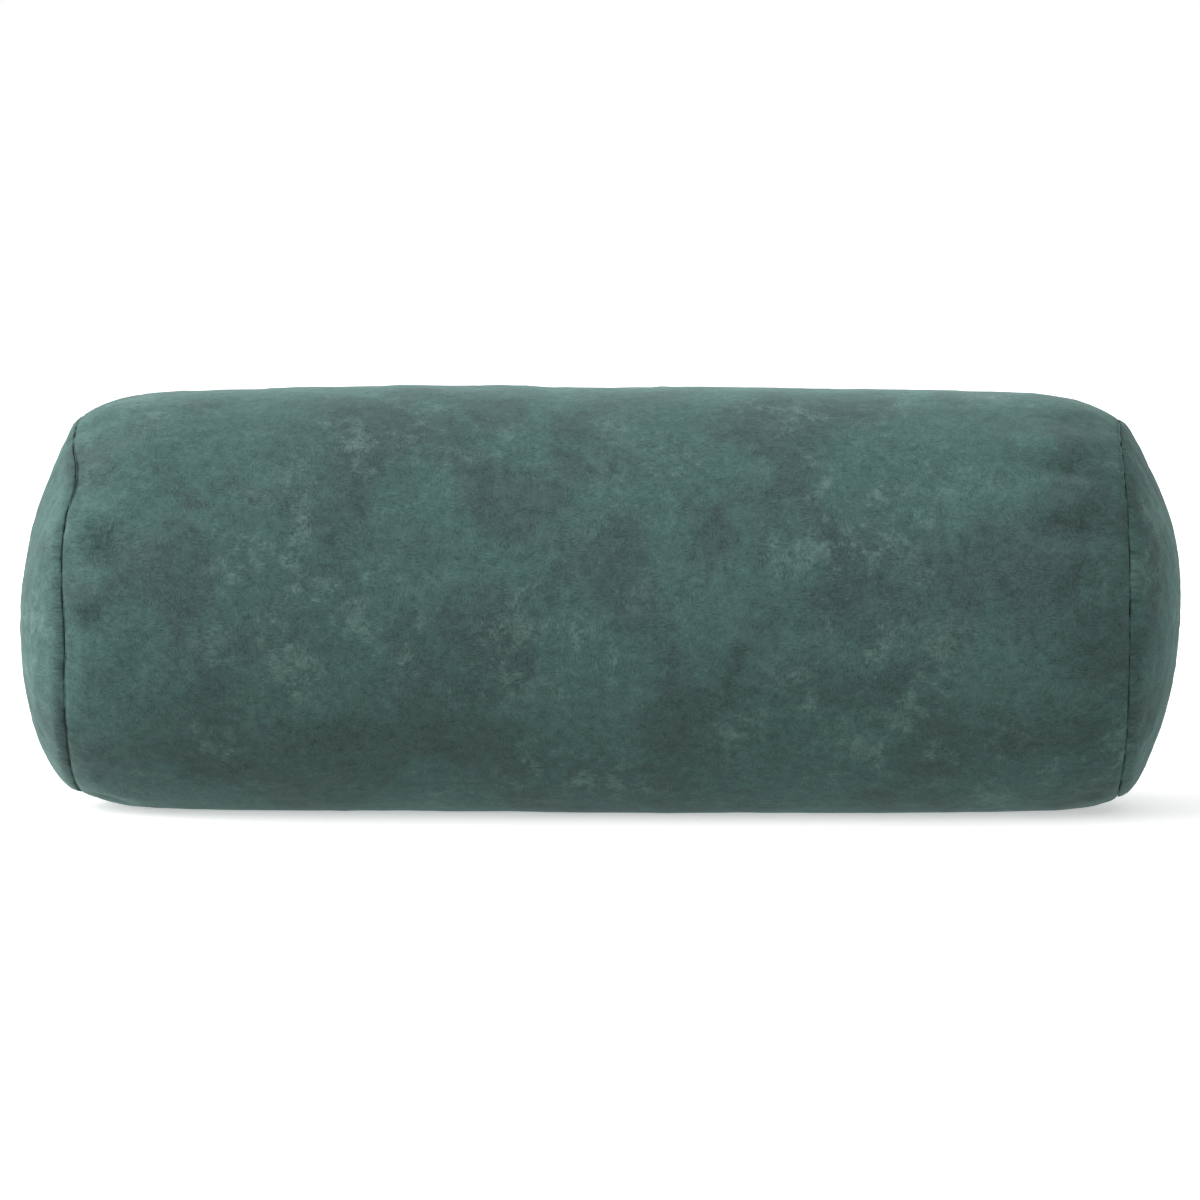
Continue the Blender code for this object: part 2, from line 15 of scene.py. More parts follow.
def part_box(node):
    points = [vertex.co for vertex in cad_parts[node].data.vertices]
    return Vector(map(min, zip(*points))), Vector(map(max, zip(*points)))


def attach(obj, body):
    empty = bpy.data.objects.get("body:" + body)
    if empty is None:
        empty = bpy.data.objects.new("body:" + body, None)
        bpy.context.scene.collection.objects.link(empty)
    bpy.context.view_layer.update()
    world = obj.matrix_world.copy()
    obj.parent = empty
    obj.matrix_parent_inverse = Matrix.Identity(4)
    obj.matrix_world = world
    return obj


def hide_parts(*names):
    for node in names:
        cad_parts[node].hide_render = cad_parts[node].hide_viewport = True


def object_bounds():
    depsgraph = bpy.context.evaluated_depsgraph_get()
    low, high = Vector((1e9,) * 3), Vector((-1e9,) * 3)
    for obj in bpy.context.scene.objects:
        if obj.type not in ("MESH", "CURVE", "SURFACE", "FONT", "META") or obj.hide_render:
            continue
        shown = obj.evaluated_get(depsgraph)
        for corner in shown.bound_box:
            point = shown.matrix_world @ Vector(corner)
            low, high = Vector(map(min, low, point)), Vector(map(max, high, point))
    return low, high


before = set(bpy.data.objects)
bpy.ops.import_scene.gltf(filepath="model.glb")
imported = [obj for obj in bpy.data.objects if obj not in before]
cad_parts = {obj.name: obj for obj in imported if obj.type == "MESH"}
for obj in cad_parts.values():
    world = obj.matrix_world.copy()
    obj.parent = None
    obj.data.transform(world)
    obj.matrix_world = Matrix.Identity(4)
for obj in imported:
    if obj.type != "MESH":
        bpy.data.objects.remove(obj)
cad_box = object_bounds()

MM = 0.001
TAU = 2 * math.pi

# Sizes read from the frame
TUBE_LOW, TUBE_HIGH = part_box("tube_panel")
SEAM_LOW, SEAM_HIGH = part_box("end_seam_stitching_right")
SLIDER_LOW, SLIDER_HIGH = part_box("zip_slider")
BODY_RADIUS = -TUBE_LOW.y
AXIS_HEIGHT = TUBE_HIGH.z - BODY_RADIUS
SEAM_X = (SEAM_LOW.x + SEAM_HIGH.x) / 2
TIP_X = cad_box[1].x
SLIDER_X = (SLIDER_LOW.x + SLIDER_HIGH.x) / 2

# Sizes shared with the frame's source
ZIP_ANGLE = math.radians(10)
GAP = 0.3 * MM
VELVET = 1.8 * MM
SEAM_RADIUS = 96.5 * MM
ALLOWANCE_RADIUS = 88.5 * MM
SHOULDER = 60 * MM
HEM_WIDTH = 12 * MM
ZIP_HALF = 200 * MM
SLOT_HALF = 4 * MM
SLOT_TAPER = 6 * MM
TEETH_START, TEETH_END = -196.2 * MM, 186.7 * MM
TEETH_WIDTH, TEETH_HEIGHT = 1.95 * MM, 1.8 * MM
TAPE_EDGE, TAPE_WIDTH, TAPE_THICKNESS = 1.5 * MM, 11.5 * MM, 0.5 * MM
STITCH_LINE = 7.5 * MM
THREAD = 0.2 * MM
TOP_STOP_X, BOTTOM_STOP_X = 191 * MM, -199 * MM
PLATE_OUTER, TEETH_OUTER, TAPE_OUTER, BASE_OUTER = 0.8 * MM, 2.1 * MM, 4.2 * MM, 5.0 * MM
PULL_OUT = 1.5 * MM                     # the pull's middle, out from the cover's outer face
CASE_SEAM_X = 262 * MM
CASE_SEAM_RADIUS = 87 * MM
CASE_CLOTH = 0.8 * MM
CASE_DEPTH = 2.5 * MM                   # of the case's outer face, away from the zip
CASE_AT_ZIP = 6.3 * MM
CASE_TIP_GAP = 0.8 * MM
CLOSING_LINE = 11 * MM
SIM_INSET = 4 * MM                      # the simulated cloth starts this much smaller
SIM_CAP = 2.5 * MM                      # the most that it moves a point of the finished cover

DOME_HEIGHT = TIP_X - SEAM_X
HALF = VELVET / 2                       # middle of the velvet below its outer face
HEM_STEP = VELVET + GAP                 # from the velvet's middle to the middle of the hem under it

ENDS = (("left", -1), ("right", 1))     # the pillow's sides
EDGES = (("upper", -1), ("lower", 1))   # the zip's sides, as signs of the distance down from its centre line


# ---------------------------------------------------------------- numbers

def smoothstep(value, low, high):
    share = np.clip((value - low) / (high - low), 0, 1)
    return share * share * (3 - 2 * share)


def bump(value, centre, width):
    return np.exp(-((value - centre) / width) ** 2)


def turned(angle, centre):
    """The signed angle from centre, in degrees, within half a turn."""
    return (np.degrees(angle) - centre + 180) % 360 - 180


def round_angles(count):
    return np.arange(count) * TAU / count


def ripple(points, wavelength, seed, count=28):
    """A smooth random field over points, about -1 to 1, the same for the same seed."""
    random = np.random.default_rng(seed)
    directions = random.normal(size=(count, 3))
    directions /= np.linalg.norm(directions, axis=1)[:, None]
    lengths = TAU / wavelength * random.uniform(0.6, 1.5, count)
    phases = random.uniform(0, TAU, count)
    total = np.zeros(points.shape[:-1])
    for direction, length, phase in zip(directions, lengths, phases):
        total += np.cos(points @ direction * length + phase)
    return total / math.sqrt(count)


# ---------------------------------------------------------------- the cover's shape

# Folds beside each end seam: angle and distance from the seam of the middle, depth, half width in degrees and
# half length. A negative depth is a soft ridge.
PUCKERS = {
    -1: [
        (160, 25, 4.6, 5.4, 12), (181, 18, 3.6, 4.2, 10), (149, 23, -2.2, 4.0, 12), (140, 17, 1.4, 3.2, 9),
        (131, 28, -2.0, 4.6, 14), (171, 24, -1.6, 3.6, 12), (199, 28, 1.6, 5.0, 15), (213, 20, 1.2, 4.0, 12),
        (190, 20, -1.2, 3.6, 11),
    ],
    1: [
        (136, 30, 3.2, 3.0, 16), (154, 34, 3.2, 3.2, 19), (145, 32, -1.7, 3.2, 20), (162, 28, -1.6, 3.2, 18),
        (127, 40, -1.5, 3.2, 24), (172, 24, 1.6, 3.2, 14), (116, 28, 1.8, 4.0, 16), (192, 30, 1.2, 4.4, 15),
        (208, 24, 1.1, 4.0, 12),
    ],
}
LARGE_FOLDS = 125, 218                  # the angles between which most of them lie

# How each end seam strays towards the middle of the pillow: angle, distance and half width in degrees
STRAYS = {
    -1: [(136, 4.6, 12), (188, 1.7, 11), (60, 1.6, 16), (235, -0.8, 20)],
    1: [(120, 2.0, 26), (250, 1.2, 18), (45, 1.5, 14)],
}
# Where each end is pressed in over a broad area: depth, ring and its half width, angle and its half width
DENTS = {-1: [(1.8, 0.86, 0.19, 95, 40)], 1: [(2.6, 0.76, 0.24, 100, 48), (1.2, 0.8, 0.16, 250, 30)]}
SEAM_SAG = {-1: 3.5 * MM, 1: 4.5 * MM}
POLE = {-1: -11 * MM, 1: 4 * MM}        # how far above the axis each end's tip lies


def seam_waviness(angle, side):
    """How far the end seam strays towards the middle of the pillow."""
    shift = sum(reach * bump(turned(angle, centre), 0, width) for centre, reach, width in STRAYS[side])
    return shift * MM * (1 - zip_share(angle))


def zip_share(angle):
    """1 on the flat band along the zip, fading to 0 beside it."""
    return 1 - smoothstep(np.abs(turned(angle, math.degrees(ZIP_ANGLE))), 11, 30)


def add_gathers(total, away, angle, seed, count, jitter, limits, calm=1.0):
    """Add small random folds round an end seam to a field of depths, all in millimetres.

    The limits are those of depth, half width, place and half length; calm is their share among the large folds.
    """
    random = np.random.default_rng(seed)
    for number in range(count):
        centre = (number + random.uniform(-jitter, jitter)) * 360 / count
        depth, width, place, length = [random.uniform(*pair) for pair in limits]
        seen = calm if LARGE_FOLDS[0] < centre < LARGE_FOLDS[1] else 1
        total = total + seen * depth * bump(turned(angle, centre), 0, width) * bump(away, place, length)
    return total


def pucker_field(distance, angle, side):
    """Soft dimples and small gathers beside an end seam, as a depth in metres."""
    away = distance / MM
    total = np.zeros(np.broadcast(distance, angle).shape)
    for centre, place, depth, width, length in PUCKERS[side]:
        total = total + depth * bump(turned(angle, centre), 0, width) * bump(away, place, length)
    limits = (0.5, 2.0), (2.2, 4.6), (9, 20), (7, 18)
    total = add_gathers(total, away, angle, 11 + side, 26, 0.35, limits, calm=0.25)
    return total * MM * (1 - zip_share(angle))


def seam_sag(angle, side):
    """How much further from the axis an end seam lies underneath, where the pillow settles on the floor."""
    return SEAM_SAG[side] * np.maximum(-np.sin(angle), 0) ** 2


def top_droop(x, angle):
    """How much lower the top lies on the right, in millimetres."""
    top = np.maximum(np.sin(angle), 0) ** 2
    return 1.3 * top * smoothstep(x / MM, 40, 160) * (1 - zip_share(angle))


def seam_radius(angle, side):
    """An end seam's distance from the axis."""
    return SEAM_RADIUS + seam_sag(angle, side) - top_droop(side * SEAM_X, angle) * MM


def outer_radius(x, angle):
    """The cover's outer radius at a station and an angle, before its finest unevenness."""
    distance = np.maximum(SEAM_X - np.abs(x), 0) / MM
    soft = 96.5 + 11 * (1 - np.exp(-distance / 18)) + 5 * (1 - np.exp(-distance / 80))
    into = np.maximum(1 - distance / (SHOULDER / MM), 0)
    stiff = BODY_RADIUS / MM - (BODY_RADIUS - SEAM_RADIUS) / MM * into ** 2
    share = zip_share(angle)
    radius = soft + (stiff - soft) * share
    radius = radius - top_droop(x, angle)
    place = np.stack(np.broadcast_arrays(x, radius * MM * np.cos(angle), radius * MM * np.sin(angle)), axis=-1)
    calm = (1 - share) * smoothstep(distance, 0, 30)
    radius = radius + 0.7 * ripple(place, 0.15, 3) * calm + 0.28 * ripple(place, 0.045, 5) * calm
    radius = radius * MM
    for side in (-1, 1):
        beside = np.where(x * side > 0, 1.0, 0.0)
        radius = radius - beside * pucker_field(SEAM_X - np.abs(x), angle, side)
        radius = radius + beside * seam_sag(angle, side) * np.exp(-distance / 22)
    if TUBE_SWELL is not None:
        across, round_it = (np.asarray(x) + SEAM_X) / (2 * SEAM_X), np.asarray(angle) / TAU
        radius = radius + sample(TUBE_SWELL, across, round_it) * (1 - share)
    return radius


# What the cloth simulation adds to the tube's radius and to the ends' rise, or None before it has run
TUBE_SWELL = None
END_SWELL = {-1: None, 1: None}


def sample(field, across, round_it):
    """Smooth values from a grid: across runs 0 to 1 over its rows, round_it in turns over its columns."""
    rows, columns = field.shape
    a = np.clip(across, 0, 1) * (rows - 1)
    b = (round_it % 1) * columns
    row, column = np.floor(a).astype(int), np.floor(b).astype(int)
    total = 0
    for i, row_share in enumerate(cubic(a - row)):
        for j, column_share in enumerate(cubic(b - column)):
            total = total + row_share * column_share * field[
                np.clip(row + i - 1, 0, rows - 1), (column + j - 1) % columns]
    return total


def cubic(t):
    """The shares of four neighbours a step apart, t of a step past the second."""
    return (
        (-t + 2 * t ** 2 - t ** 3) / 2, (2 - 5 * t ** 2 + 3 * t ** 3) / 2,
        (t + 4 * t ** 2 - 3 * t ** 3) / 2, (t ** 3 - t ** 2) / 2,
    )


def blurred(field, passes):
    """A grid smoothed over its rows and, joined round, over its columns."""
    for _ in range(passes):
        held = np.concatenate([field[:1], field, field[-1:]])
        field = (held[:-2] + 2 * held[1:-1] + held[2:]) / 4
        field = (np.roll(field, 1, 1) + 2 * field + np.roll(field, -1, 1)) / 4
    return field


SIM_ANGLES = round_angles(144)
SIM_STATIONS = np.linspace(-SEAM_X, SEAM_X, 110)


def closed_body(inset):
    """The cover as one closed surface, a little smaller than it will be."""
    rings = np.linspace(0.05, 0.97, 20)
    left = [end_shape(-1, ring, SIM_ANGLES, inset) for ring in rings]
    right = [end_shape(1, ring, SIM_ANGLES, inset) for ring in rings[::-1]]
    tube = [to_space(x, outer_radius(x, SIM_ANGLES) - inset, SIM_ANGLES) for x in SIM_STATIONS]
    tips = [end_shape(side, 0.0, 0.0, inset) for side in (-1, 1)]
    vertices, faces = capped(np.array([*left, *tube, *right]), tips)
    mesh = bpy.data.meshes.new("body")
    mesh.from_pydata(settle(vertices, floor=inset).tolist(), [], faces)
    return mesh


def run_cloth():
    """Blow the cover up a little as cloth, held at its seams and zip; returns its surface before and after."""
    body = bpy.data.objects.new("body", closed_body(SIM_INSET))
    bpy.context.scene.collection.objects.link(body)
    remesh = body.modifiers.new("even", "REMESH")
    remesh.mode = "VOXEL"
    remesh.voxel_size = 5 * MM
    graph = bpy.context.evaluated_depsgraph_get()
    mesh = bpy.data.meshes.new_from_object(body.evaluated_get(graph))
    bpy.data.objects.remove(body)
    cloth = bpy.data.objects.new("cloth", mesh)
    bpy.context.scene.collection.objects.link(cloth)
    held, slack = cloth.vertex_groups.new(name="held"), cloth.vertex_groups.new(name="slack")
    points = np.array([v.co for v in mesh.vertices])
    radial = np.hypot(points[:, 1], points[:, 2] - AXIS_HEIGHT)
    angle = np.arctan2(points[:, 2] - AXIS_HEIGHT, points[:, 1])
    from_seam = np.abs(np.abs(points[:, 0]) - SEAM_X)
    at_seam = (from_seam < 4 * MM) & (radial > SEAM_RADIUS - 9 * MM)
    at_zip = (np.abs(turned(angle, math.degrees(ZIP_ANGLE))) < 9) & (np.abs(points[:, 0]) < SEAM_X)
    on_floor = points[:, 2] < SIM_INSET + 1 * MM
    held.add(np.nonzero(at_seam | at_zip | on_floor)[0].tolist(), 1.0, "REPLACE")
    for number, distance in enumerate(from_seam):
        slack.add([number], float(np.exp(-(distance / (26 * MM)) ** 2)), "REPLACE")
    before = BVHTree.FromPolygons(points.tolist(), [list(p.vertices) for p in mesh.polygons])
    settings = cloth.modifiers.new("cloth", "CLOTH").settings
    settings.quality = 6
    settings.mass = 0.3
    settings.tension_stiffness = settings.compression_stiffness = 18
    settings.bending_stiffness = 0.6
    settings.use_pressure = True
    settings.uniform_pressure_force = 4
    settings.effector_weights.gravity = 0
    settings.vertex_group_mass = "held"
    settings.vertex_group_shrink = "slack"
    settings.shrink_min, settings.shrink_max = 0.0, -0.07
    for frame_number in range(1, 21):
        bpy.context.scene.frame_set(frame_number)
    graph = bpy.context.evaluated_depsgraph_get()
    result = cloth.evaluated_get(graph).to_mesh()
    after = BVHTree.FromPolygons([tuple(v.co) for v in result.vertices], [list(p.vertices) for p in result.polygons])
    bpy.data.objects.remove(cloth)
    bpy.context.scene.frame_set(1)
    return before, after


def moved(before, after, origin, direction):
    """How much further out a ray meets the second surface than the first."""
    first, second = before.ray_cast(origin, direction), after.ray_cast(origin, direction)
    return second[3] - first[3] if first[3] and second[3] else 0.0


def swell_details(field):
    """What a simulated movement adds beyond the broad swelling, capped."""
    detail = field - blurred(field, 40)
    return np.clip(blurred(detail, 1), -SIM_CAP, SIM_CAP)


def simulate():
    """Fill TUBE_SWELL and END_SWELL with the folds that the simulated cloth takes."""
    global TUBE_SWELL
    before, after = run_cloth()
    field = [[moved(before, after, Vector((x, 0, AXIS_HEIGHT)), Vector((0, math.cos(a), math.sin(a))))
              for a in SIM_ANGLES] for x in SIM_STATIONS]
    tube = swell_details(np.array(field))
    rings, ends = np.linspace(0, 1, 24), {}
    for side in (-1, 1):
        field = []
        for ring in rings:
            starts = [end_shape(side, ring, a, SIM_INSET) for a in SIM_ANGLES]
            field.append([moved(before, after, Vector((side * (SEAM_X - 20 * MM), p[1], p[2])), Vector((side, 0, 0)))
                          for p in starts])
        field = np.array(field)
        field[-2:] = 0
        field[0] = field[0].mean()
        ends[side] = swell_details(field) * (1 - rings ** 6)[:, None]
        ends[side][0] = ends[side][0].mean()
    TUBE_SWELL = tube
    END_SWELL.update(ends)


def around_axis(x, radius, angle):
    return np.stack(np.broadcast_arrays(x, radius * np.cos(angle), AXIS_HEIGHT + radius * np.sin(angle)), axis=-1)


def along_zip(x, out, up):
    """The point that lies out from the axis in the zip's direction, and up across it."""
    y = out * math.cos(ZIP_ANGLE) - up * math.sin(ZIP_ANGLE)
    z = out * math.sin(ZIP_ANGLE) + up * math.cos(ZIP_ANGLE)
    return np.stack(np.broadcast_arrays(x, y, AXIS_HEIGHT + z), axis=-1)


def to_space(x, radius, angle):
    """The point at a radius and angle, on a band along the zip that lies flat."""
    out, up = radius * np.cos(angle - ZIP_ANGLE), radius * np.sin(angle - ZIP_ANGLE)
    flat = np.where(out > 0, 1 - smoothstep(np.abs(up), 12 * MM, 24 * MM), 0)
    return along_zip(x, out + flat * (radius - out), up)


def settle(points, floor=0.0, soft=2.5 * MM):
    """Press what would sink below the floor flat, with a soft edge."""
    height = points[..., 2] - floor
    bent = (height + soft) ** 2 / (4 * soft)
    points[..., 2] = floor + np.where(height < -soft, 0, np.where(height > soft, height, bent))
    return points


# ---------------------------------------------------------------- meshes from grids

def normals_of(grid, around=False):
    """The outward normal at each point of a grid of points; around joins its last column to its first."""
    if around:
        padded = np.concatenate([grid[:, -1:], grid, grid[:, :1]], axis=1)
        across = np.gradient(padded, axis=1)[:, 1:-1]
    else:
        across = np.gradient(grid, axis=1)
    along = np.gradient(grid, axis=0)
    normal = np.cross(along, across)
    length = np.linalg.norm(normal, axis=-1, keepdims=True)
    return normal / np.maximum(length, 1e-12)


def grid_faces(rows, columns, start=0, around=False):
    """Quads over a grid of vertices whose first index is start."""
    index = start + np.arange(rows * columns).reshape(rows, columns)
    if around:
        index = np.concatenate([index, index[:, :1]], axis=1)
    corners = (index[:-1, :-1], index[1:, :-1], index[1:, 1:], index[:-1, 1:])
    return np.stack([corner.ravel() for corner in corners], axis=1).tolist()


def fan(start, columns, tip):
    """Triangles between a closed row of vertices and a tip."""
    return [[start + i, tip, start + (i + 1) % columns] for i in range(columns)]


def capped(rows, tips):
    """The vertices and faces of a closed shell: rows of points round it, and a tip at each end."""
    columns = rows.shape[1]
    vertices = np.concatenate([rows.reshape(-1, 3), tips])
    faces = grid_faces(len(rows), columns, around=True)
    faces += [face[::-1] for face in fan(0, columns, len(vertices) - 2)]
    return vertices, faces + fan((len(rows) - 1) * columns, columns, len(vertices) - 1)


def show(name, data, material, node, body="cover"):
    """Put a mesh or a curve on its body, in place of a CAD node."""
    data.materials.append(material)
    piece = bpy.data.objects.new(name, data)
    bpy.context.scene.collection.objects.link(piece)
    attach(piece, body)
    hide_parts(node)
    return piece


def add_piece(name, vertices, faces, material, place, node):
    """A smooth closed piece, its faces turned outward; place is where each vertex lies on the flat cloth."""
    mesh = bpy.data.meshes.new(name)
    mesh.from_pydata(np.asarray(vertices).tolist(), [], faces)
    mesh.validate()
    shape = bmesh.new()
    shape.from_mesh(mesh)
    bmesh.ops.recalc_face_normals(shape, faces=shape.faces)
    if shape.calc_volume(signed=True) < 0:
        bmesh.ops.reverse_faces(shape, faces=shape.faces)
    shape.to_mesh(mesh)
    shape.free()
    held = mesh.attributes.new("cloth_place", "FLOAT_VECTOR", "POINT")
    held.data.foreach_set("vector", np.asarray(place, np.float32).ravel())
    mesh.shade_smooth()
    piece = show(name, mesh, material, node)
    return piece


# How far the pile fills the groove of each end seam: 0 leaves it round, 1 would close it.
PILE_FILL = {-1: 0.86, 1: 0.98}
SEAM_LINE_PAINTED_SHADE = {-1: 1.9 * MM, 1: 0.5 * MM}    # how deep each end seam's line looks, as painted shade in the velvet's colour
PILE_GAP = 0.04 * MM                    # between the two piles that meet over an end seam
FOLD_ROWS = range(4, 10)                # the rows that turn in at an end seam


def fill_seam(outer, corner, side):
    """Pull the outer face of a folded edge towards its square corner, unevenly, as the pile fills it."""
    uneven = ripple(corner, 0.016, 61 + side) + 0.5 * ripple(corner, 0.006, 63 + side)
    filled = np.clip(PILE_FILL[side] * (1 + 0.3 * uneven), 0.15, 1)[:, None]
    for row in FOLD_ROWS:
        outer[row] = outer[row] + (corner - outer[row]) * filled * math.sin(math.pi * (row - 3) / 7)
    return outer


def rim_faces(fine, coarse):
    """Triangles between a closed loop of vertices and one with half as many beside it."""
    faces = []
    count = len(coarse)
    for i in range(count):
        a, b, c = fine[2 * i], fine[2 * i + 1], fine[(2 * i + 2) % len(fine)]
        p, q = coarse[i], coarse[(i + 1) % count]
        faces += [[a, b, p], [b, q, p], [b, c, q]]
    return faces


def border(index):
    """The outer loop of a grid of indices."""
    top, right = index[0, :-1], index[:-1, -1]
    bottom, left = index[-1, :0:-1], index[:0:-1, 0]
    return np.concatenate([top, right, bottom, left]).tolist()


def add_cloth(name, middle, thickness, material, place, node, raised=0):
    """A sheet of cloth with its thickness: a fine outer side and a coarser inner side, joined along the edges."""
    normal = normals_of(middle)
    outer = middle + normal * thickness / 2 + raised
    inner = (middle - normal * thickness / 2)[::2, ::2]
    fine = np.arange(outer[..., 0].size).reshape(outer.shape[:2])
    coarse = fine.size + np.arange(inner[..., 0].size).reshape(inner.shape[:2])
    faces = grid_faces(*fine.shape) + grid_faces(*coarse.shape, fine.size) + rim_faces(border(fine), border(coarse))
    vertices = np.concatenate([outer.reshape(-1, 3), inner.reshape(-1, 3)])
    places = np.concatenate([place.reshape(-1, 3), place[::2, ::2].reshape(-1, 3)])
    return add_piece(name, vertices, faces, material, places, node)


# ---------------------------------------------------------------- velvet tube

FOLD_ROUND = 2.15 * MM                  # the size of the velvet's fold at an end seam
FIRST_ROW = 3.2 * MM                    # from an end seam to the first row beyond the fold
COLUMN = 2.75 * MM                      # between columns away from the zip
BESIDE_ZIP = np.array([1.0, 2.0, 3.1, 4.3, 5.7, 7.3, 9.2, 11.4, 13.9]) * MM     # columns beyond the hem's fold


def main_distances():
    """Distances from an end seam to the middle, close together near the seam."""
    distances, step = [FIRST_ROW], 0.8 * MM
    while distances[-1] + step < SEAM_X - step / 2:
        distances.append(distances[-1] + step)
        step = min(step * 1.07, 3.3 * MM)
    return np.array(distances)


def curved(start, corner, end, share):
    """A point of the curve from start to end that leans towards a corner."""
    return (1 - share) ** 2 * start + 2 * share * (1 - share) * corner + share * share * end


def tube_half_rows(side, angle_of, depth):
    """Points of one half of the tube, from the edge of its seam allowance to the middle, column by column."""
    corner_at = GAP / 2 + depth
    round_end = corner_at + FOLD_ROUND

    def on_main(distance):
        x = side * (SEAM_X - distance)
        angle = angle_of(x)
        radius = outer_radius(x, angle)
        step = 0.4 * MM
        slope = (outer_radius(x - side * step, angle) - radius) / step
        return distance, radius - depth * np.sqrt(1 + slope ** 2), angle

    corner, fold_end = on_main(corner_at), on_main(round_end)
    low_end = corner[1] - FOLD_ROUND
    rows = [(corner_at, ALLOWANCE_RADIUS + (low_end - ALLOWANCE_RADIUS) * step / 4, corner[2]) for step in range(4)]
    for step in range(5):
        distance = curved(corner_at, corner_at, round_end, step / 5)
        rows.append((distance, curved(low_end, corner[1], fold_end[1], step / 5), corner[2]))
    for distance in main_distances():
        rows.append(on_main(distance + (round_end - FIRST_ROW) * np.exp(-(distance - FIRST_ROW) / (6 * MM))))
    grid = []
    for distance, radius, angle in rows:
        stray = seam_waviness(angle, side) * np.exp(-distance / (28 * MM))
        grid.append(to_space(side * (SEAM_X - distance - stray), radius, angle))
    return np.array(grid)


def add_velvet_tube(material):
    """The tube's panel, turned in at both ends and folded into a hem on each side of the zip."""
    girth = TAU * BODY_RADIUS
    count = int((girth - 2 * SLOT_HALF - 2 * BESIDE_ZIP[-1]) / COLUMN) // 2 * 2
    folds = [math.pi * step / 6 - math.pi / 2 for step in range(7)]
    hems = np.linspace(HEM_WIDTH, 7 * MM, 3)

    def columns_at(x):
        """For a station, the distance up from the zip of every column."""
        beyond = np.clip((np.abs(x) - ZIP_HALF) / SLOT_TAPER, 0, 1)
        edge = SLOT_HALF + (GAP / 2 - SLOT_HALF) * beyond + HALF
        upper = np.concatenate([hems, [edge + HEM_STEP / 2 * (1 - math.cos(turn)) for turn in folds]])
        near = edge + HEM_STEP / 2 + BESIDE_ZIP
        far = girth - near[::-1]
        middle = np.linspace(near[-1], far[0], count + 1)[1:-1]
        return np.concatenate([upper, near, middle, far, girth - upper[::-1]])

    def angle_of(x):
        return ZIP_ANGLE + columns_at(float(np.mean(x))) / BODY_RADIUS

    lean = np.array([1.0] * len(hems) + [(1 - math.sin(turn)) / 2 for turn in folds])
    depth = np.full(len(columns_at(0.0)), HALF)
    depth[:len(lean)] += lean * HEM_STEP
    depth[-len(lean):] += lean[::-1] * HEM_STEP
    left, right = [tube_half_rows(side, angle_of, depth) for side in (-1, 1)]
    middle = np.concatenate([left, right[-2::-1]])
    ups = np.array([columns_at(row[0, 0]) for row in middle])
    place = np.stack([middle[..., 0], ups, np.zeros_like(ups)], axis=-1)
    normal = normals_of(middle)
    away_from_zip = smoothstep(np.minimum(ups, girth - ups), 14 * MM, 40 * MM)
    middle = settle(middle + normal * (fine_relief(middle) * away_from_zip)[..., None], floor=HALF)
    raised = np.zeros_like(middle)
    for side in (-1, 1):
        rows = slice(None, None, -side)
        near = (middle + normal * HALF)[rows]
        angle = ZIP_ANGLE + ups[rows][0] / BODY_RADIUS
        x = side * (SEAM_X - PILE_GAP / 2 - seam_waviness(angle, side))
        square = to_space(x, outer_radius(x, angle) - 0.3 * MM - (depth - HALF), angle)
        raised[rows] += fill_seam(near.copy(), square, side) - near
    piece = add_cloth("cover_tube", middle, VELVET, material, place, "tube_panel", raised)
    x, _, angle = places_of(piece)
    # Painted shade: each vertex's pucker depth, plus each end seam's painted shade line, darkens the velvet's colour
    # there
    depths = 0
    for side in (-1, 1):
        distance = SEAM_X - x * side
        depth = pucker_field(distance, angle, side) + seam_line_painted_shade(distance - seam_waviness(angle, side), side)
        depths = depths + depth * (x * side > 0)
    paint_fold_shade(piece, depths)


def seam_line_painted_shade(distance, side):
    """Painted shade of an end seam, given as a fold depth: dark in its line, a painted highlight on the roll of cloth
    beside it.
    """
    return SEAM_LINE_PAINTED_SHADE[side] * (bump(distance, 0, 2.4 * MM) - 0.5 * bump(distance, 7 * MM, 4 * MM))


def paint_fold_shade(piece, depths):
    """Keep how deep each vertex lies in a fold, which the velvet turns into painted shade in hollows and painted
    highlight on ridges.
    """
    held = piece.data.attributes.new("fold", "FLOAT", "POINT")
    held.data.foreach_set("value", np.asarray(depths / MM, np.float32).ravel())


def places_of(piece):
    """Each vertex's station and its radius and angle about the pillow's axis."""
    points = np.array([vertex.co for vertex in piece.data.vertices])
    y, z = points[:, 1], points[:, 2] - AXIS_HEIGHT
    return points[:, 0], np.hypot(y, z), np.arctan2(z, y)


def fine_relief(points):
    """The nap's unevenness, which shows along the outline."""
    return (0.16 * ripple(points, 0.013, 21, 40) + 0.09 * ripple(points, 0.006, 22, 40)) * MM


# ---------------------------------------------------------------- velvet end panels

def end_dents(side, ring, angle):
    """How far an end is pressed in over broad areas."""
    dents = sum(depth * bump(ring, place, width) * bump(turned(angle, centre), 0, spread)
                for depth, place, width, centre, spread in DENTS[side])
    return dents * MM * (1 - ring ** 6)


def dome_share(ring, angle):
    """An end's height over its seam, as a share of the most: full below, flatter towards the top of the seam."""
    return np.maximum(1 - ring ** 2, 0) ** (0.625 + 0.2 * bump(turned(angle, 97), 0, 48))


def end_gathers(side, ring, angle):
    """Small folds of an end panel beside its seam."""
    limits = (0.3, 1.3), (2.4, 5.0), (5, 11), (6, 14)
    away = (1 - ring) * SEAM_RADIUS / MM
    return add_gathers(0, away, angle, 31 + side, 30, 0.4, limits) * MM * (1 - ring ** 8)


def end_point(side, x, reach, ring, angle):
    """A point of an end whose tip lies off the axis."""
    point = around_axis(side * x, reach, angle)
    point[..., 2] += POLE[side] * (1 - ring ** 2)
    return point


